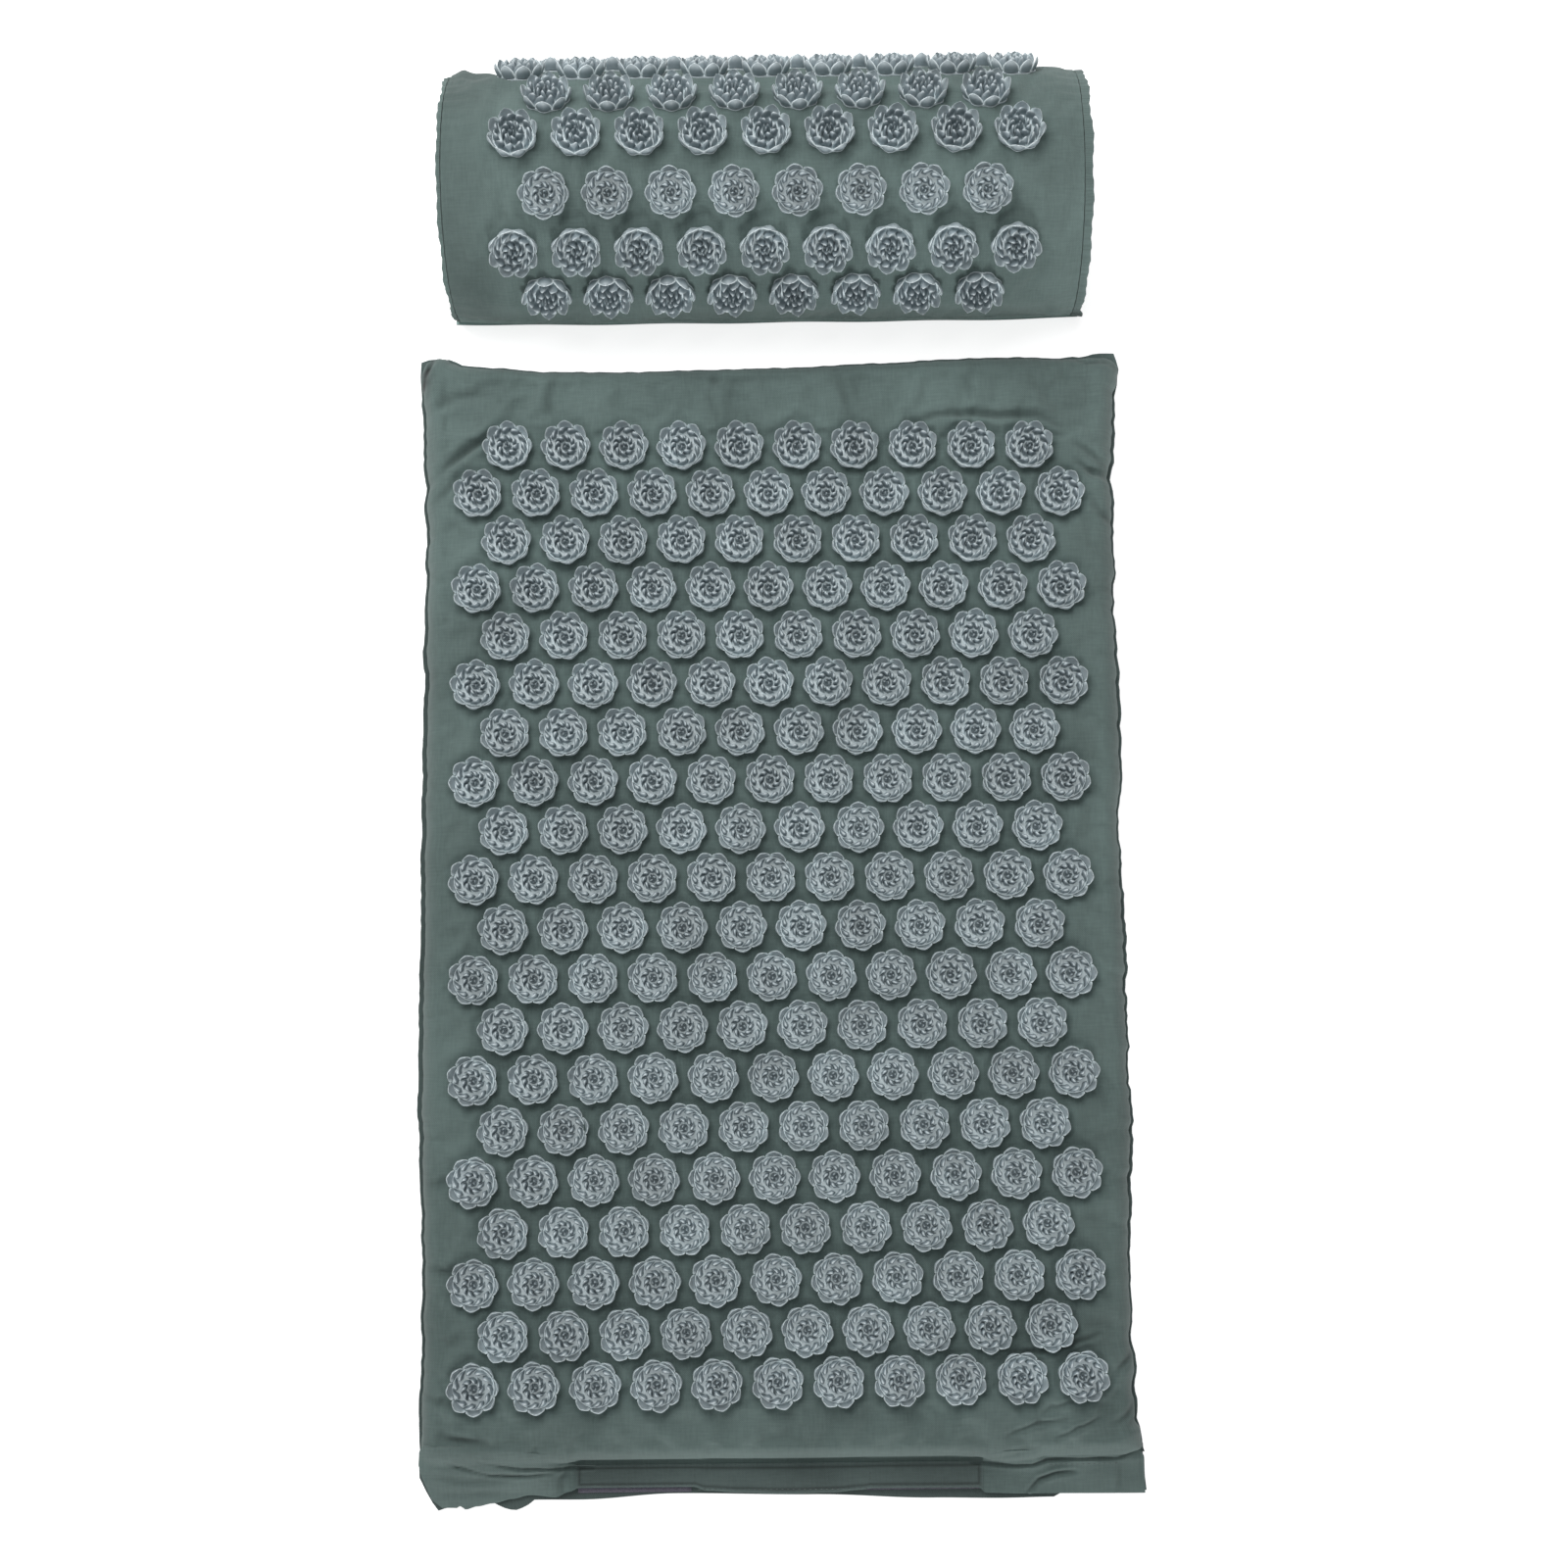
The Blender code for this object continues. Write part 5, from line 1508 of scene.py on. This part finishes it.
class MATSET_OT_pillow_discs(bpy.types.Operator):
    """Makes the pillow's seven rows of lotus spike discs"""

    bl_idname = "matset.pillow_discs"
    bl_label = "Pillow discs"

    def execute(self, context):
        dome = Dome(context.scene.mat_set_sizes)
        centres = dome.centres()
        turn = centres[:, 1] / dome.radius
        origins = dome.place(centres[:, 0], centres[:, 1])
        up = np.column_stack([np.zeros(len(turn)), np.sin(turn), np.cos(turn)])
        along = np.column_stack([np.zeros(len(turn)), np.cos(turn), -np.sin(turn)])
        across = np.tile((1.0, 0.0, 0.0), (len(turn), 1))
        axes, node = (across, along, up), "pillow_wrap_panel"
        disc_rows(context, "pillow_spike_row_{}", PILLOW_ROWS, PILLOW_ROW_DISCS, origins, axes, node)
        return {"FINISHED"}


class MATSET_OT_pillow_ends(bpy.types.Operator):
    """Makes the pillow's two D-shaped ends, each with the wavy raw edge of its seam"""

    bl_idname = "matset.pillow_ends"
    bl_label = "Pillow ends"

    def execute(self, context):
        dome = Dome(context.scene.mat_set_sizes)
        for side, word in ((-1, "left"), (1, "right")):
            self.end(context, dome, side, f"pillow_end_cloth_{word}", f"pillow_end_{word}")
        return {"FINISHED"}

    def end(self, context, dome, side, name, node):
        """Rings of the D section, from the bulged middle out to the seam, round its edge and back inside."""
        arc = np.linspace(-dome.reach, dome.reach, 97)
        place = np.full(arc.shape, dome.half if side > 0 else dome.left)
        edge = dome.place(place, arc, dome.lift(place, arc) * 0.6)
        front, rear = edge[0], edge[-1]
        base = front + (rear - front) * np.linspace(0, 1, 41)[1:-1, None]
        edge = np.concatenate([edge, base[::-1]])
        middle = np.array([edge[0, 0], dome.middle, 0.046])
        walk = np.concatenate([[0], np.cumsum(np.linalg.norm(np.diff(edge, axis=0), axis=1))])
        gather = np.sin(2 * math.pi * walk / (9.5 * MM)) + 0.6 * np.sin(walk / (7.3 * MM) + side)
        slow = np.sin(2 * math.pi * walk / (37 * MM) + 2 * side)
        foot = (side > 0) * 3.0 * bell(walk, 7 * MM, 7 * MM)
        wide = 1 if side > 0 else 0.5
        rings = []
        # Each ring's scale about the middle, how far out it stands in millimetres and its share of the waves
        steps = (
            (0.03, 4.6, 0), (0.2, 4.4, 0), (0.4, 3.7, 0), (0.6, 2.7, 0), (0.75, 1.8, 0.15), (0.86, 1.1, 0.4),
            (0.93, 0.8, 0.7), (0.965, 0.7, 0.6), (0.978, 2.2, 0.5), (0.982, 4.6, 0.9), (0.992, 5.1, 0.9),
            (1.0, 4.7, 0.9), (1.0, 2.2, 0.5), (0.999, 0.2, 0.1), (0.96, -0.1, 0), (0.5, -0.1, 0),
            (0.03, -0.1, 0),
        )
        spokes = edge - middle
        for scale, out, gathered in steps:
            ring = middle + spokes * scale
            wave = gathered * (0.35 * gather + 0.5 * slow + foot) * MM
            ring = ring + spokes / np.linalg.norm(spokes, axis=1, keepdims=True) * (wave * 0.5)[:, None]
            flange = wide if 0.97 < scale <= 1 and out > 1 else 1
            ring[:, 0] += side * (GAP + out * flange * MM) + side * wave * 0.9
            ring[:, 2] = np.maximum(ring[:, 2], RIM_Z)
            rings.append(ring)
        points, faces = tube_between(np.array(rings))
        uv = points[:, 1:].copy()
        scales = np.repeat([step[0] for step in steps], len(edge))
        outs = np.repeat([step[1] for step in steps], len(edge))
        wear_and_painted_light = 0.16 * ((outs > 4.6) & (scales > 0.9))
        painted_and_worn = {"wear_and_painted_light": wear_and_painted_light}
        cloth = new_piece(context, name, points, faces, "dyed_cotton_canvas", ROOT, uv, painted_and_worn, crease=60)
        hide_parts(node)


class MATSET_OT_pillow_base(bpy.types.Operator):
    """Makes the flat cloth under the pillow"""

    bl_idname = "matset.pillow_base"
    bl_label = "Pillow base"

    def execute(self, context):
        v, u = np.meshgrid(np.linspace(0, 1, 61), np.linspace(-1, 1, 121))
        x = u * BASE_HIGH.x
        front = BASE_LOW.y + 0.8 * MM + 1.2 * MM * u**6 + 0.3 * MM * np.sin(x / (13 * MM))
        rear = BASE_HIGH.y - 1.2 * MM * u**6 + 0.2 * MM * np.sin(x / (17 * MM))
        y = front + (rear - front) * v
        grid = np.stack([x, y, np.full(x.shape, CLOTH)], -1)
        plan, cotton = grid[..., :2], "dyed_cotton_canvas"
        # Painted light: the base is made lighter along its front edge, which lies in the dome's shadow
        lighter = 2.2 * bell(y, front, 8 * MM)
        sheet = cloth_piece(context, "pillow_base", grid, PANEL, plan, lighter, cotton, ROOT, 60)
        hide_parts("pillow_base_panel")
        return {"FINISHED"}


class MATSET_OT_pillow_closure(bpy.types.Operator):
    """Makes the pillow's closure at its back: the hinged lip, its tapes and its stitching"""

    bl_idname = "matset.pillow_closure"
    bl_label = "Pillow closure"

    def execute(self, context):
        sizes = context.scene.mat_set_sizes
        dome = Dome(sizes)
        origin, along, out = closure_axes(dome)
        share, u = np.meshgrid(np.linspace(1, 0, 13), np.linspace(-1, 1, 161))
        x = u * (0.150 - 1.2 * MM * share)
        reach = 15 * MM + 0.35 * MM * np.sin(x / (14 * MM))
        lift = PILLOW_LIP_TOP + 0.25 * MM * np.sin(math.pi * share) * wander(x, share * 15 * MM, 30 * MM, 31)
        grid = origin + np.stack([x, 0 * x, 0 * x], -1)
        grid = grid + (share * reach)[..., None] * along + lift[..., None] * out
        plan, wear_and_painted_light = np.stack([x, share * reach], -1), 0.11 * (share > 0.95)
        thickness, cotton = (PILLOW_LIP_TOP - PILLOW_LIP_FOOT) * 0.95, "dyed_cotton_canvas"
        lip = cloth_piece(context, "pillow_closure_lip", grid, thickness, plan, wear_and_painted_light, cotton, PILLOW_LIP, 60)
        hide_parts("pillow_closure_flap")
        xs = np.linspace(-0.147, 0.147, round(0.296 / sizes.stitch_pitch))
        line = origin + xs[:, None] * (1, 0, 0) + out * PILLOW_LIP_TOP
        middles = np.concatenate([line + along * at * 15 * MM for at in (0.12, 0.86)])
        points, faces = stitch_row(middles, np.tile((1.0, 0, 0), (len(middles), 1)))
        thread = "spun_polyester_thread"
        stitching = new_piece(context, "pillow_lip_stitching", points, faces, thread, PILLOW_LIP, crease=80)
        tape_strips(context, "pillow", PILLOW_LIP, (along, out))
        return {"FINISHED"}


class MATSET_PT_panel(bpy.types.Panel):
    bl_label = "Acupressure mat set"
    bl_idname = "MATSET_PT_panel"
    bl_space_type = "VIEW_3D"
    bl_region_type = "UI"
    bl_category = "Mat Set"

    def draw(self, context):
        for operator in OPERATORS:
            self.layout.operator(operator.bl_idname)
        for group in (context.scene.mat_set_sizes, context.scene.mat_set_colours):
            for name in group.bl_rna.properties.keys():
                if name not in ("rna_type", "name"):
                    self.layout.prop(group, name)


OPERATORS = (
    MATSET_OT_stage,
    MATSET_OT_mat_foam,
    MATSET_OT_mat_cover,
    MATSET_OT_mat_discs,
    MATSET_OT_mat_underside,
    MATSET_OT_mat_closure,
    MATSET_OT_pillow_foam,
    MATSET_OT_pillow_cover,
    MATSET_OT_pillow_discs,
    MATSET_OT_pillow_ends,
    MATSET_OT_pillow_base,
    MATSET_OT_pillow_closure,
)
CLASSES = (MatSetSizes, MatSetColours, *OPERATORS, MATSET_PT_panel)


def register():
    for made in CLASSES:
        bpy.utils.register_class(made)
    bpy.types.Scene.mat_set_sizes = bpy.props.PointerProperty(type=MatSetSizes)
    bpy.types.Scene.mat_set_colours = bpy.props.PointerProperty(type=MatSetColours)


def unregister():
    del bpy.types.Scene.mat_set_colours
    del bpy.types.Scene.mat_set_sizes
    for made in reversed(CLASSES):
        bpy.utils.unregister_class(made)


def main():
    register()
    for operator in OPERATORS:
        group, name = operator.bl_idname.split(".")
        getattr(getattr(bpy.ops, group), name)()


if __name__ == "__main__":
    main()
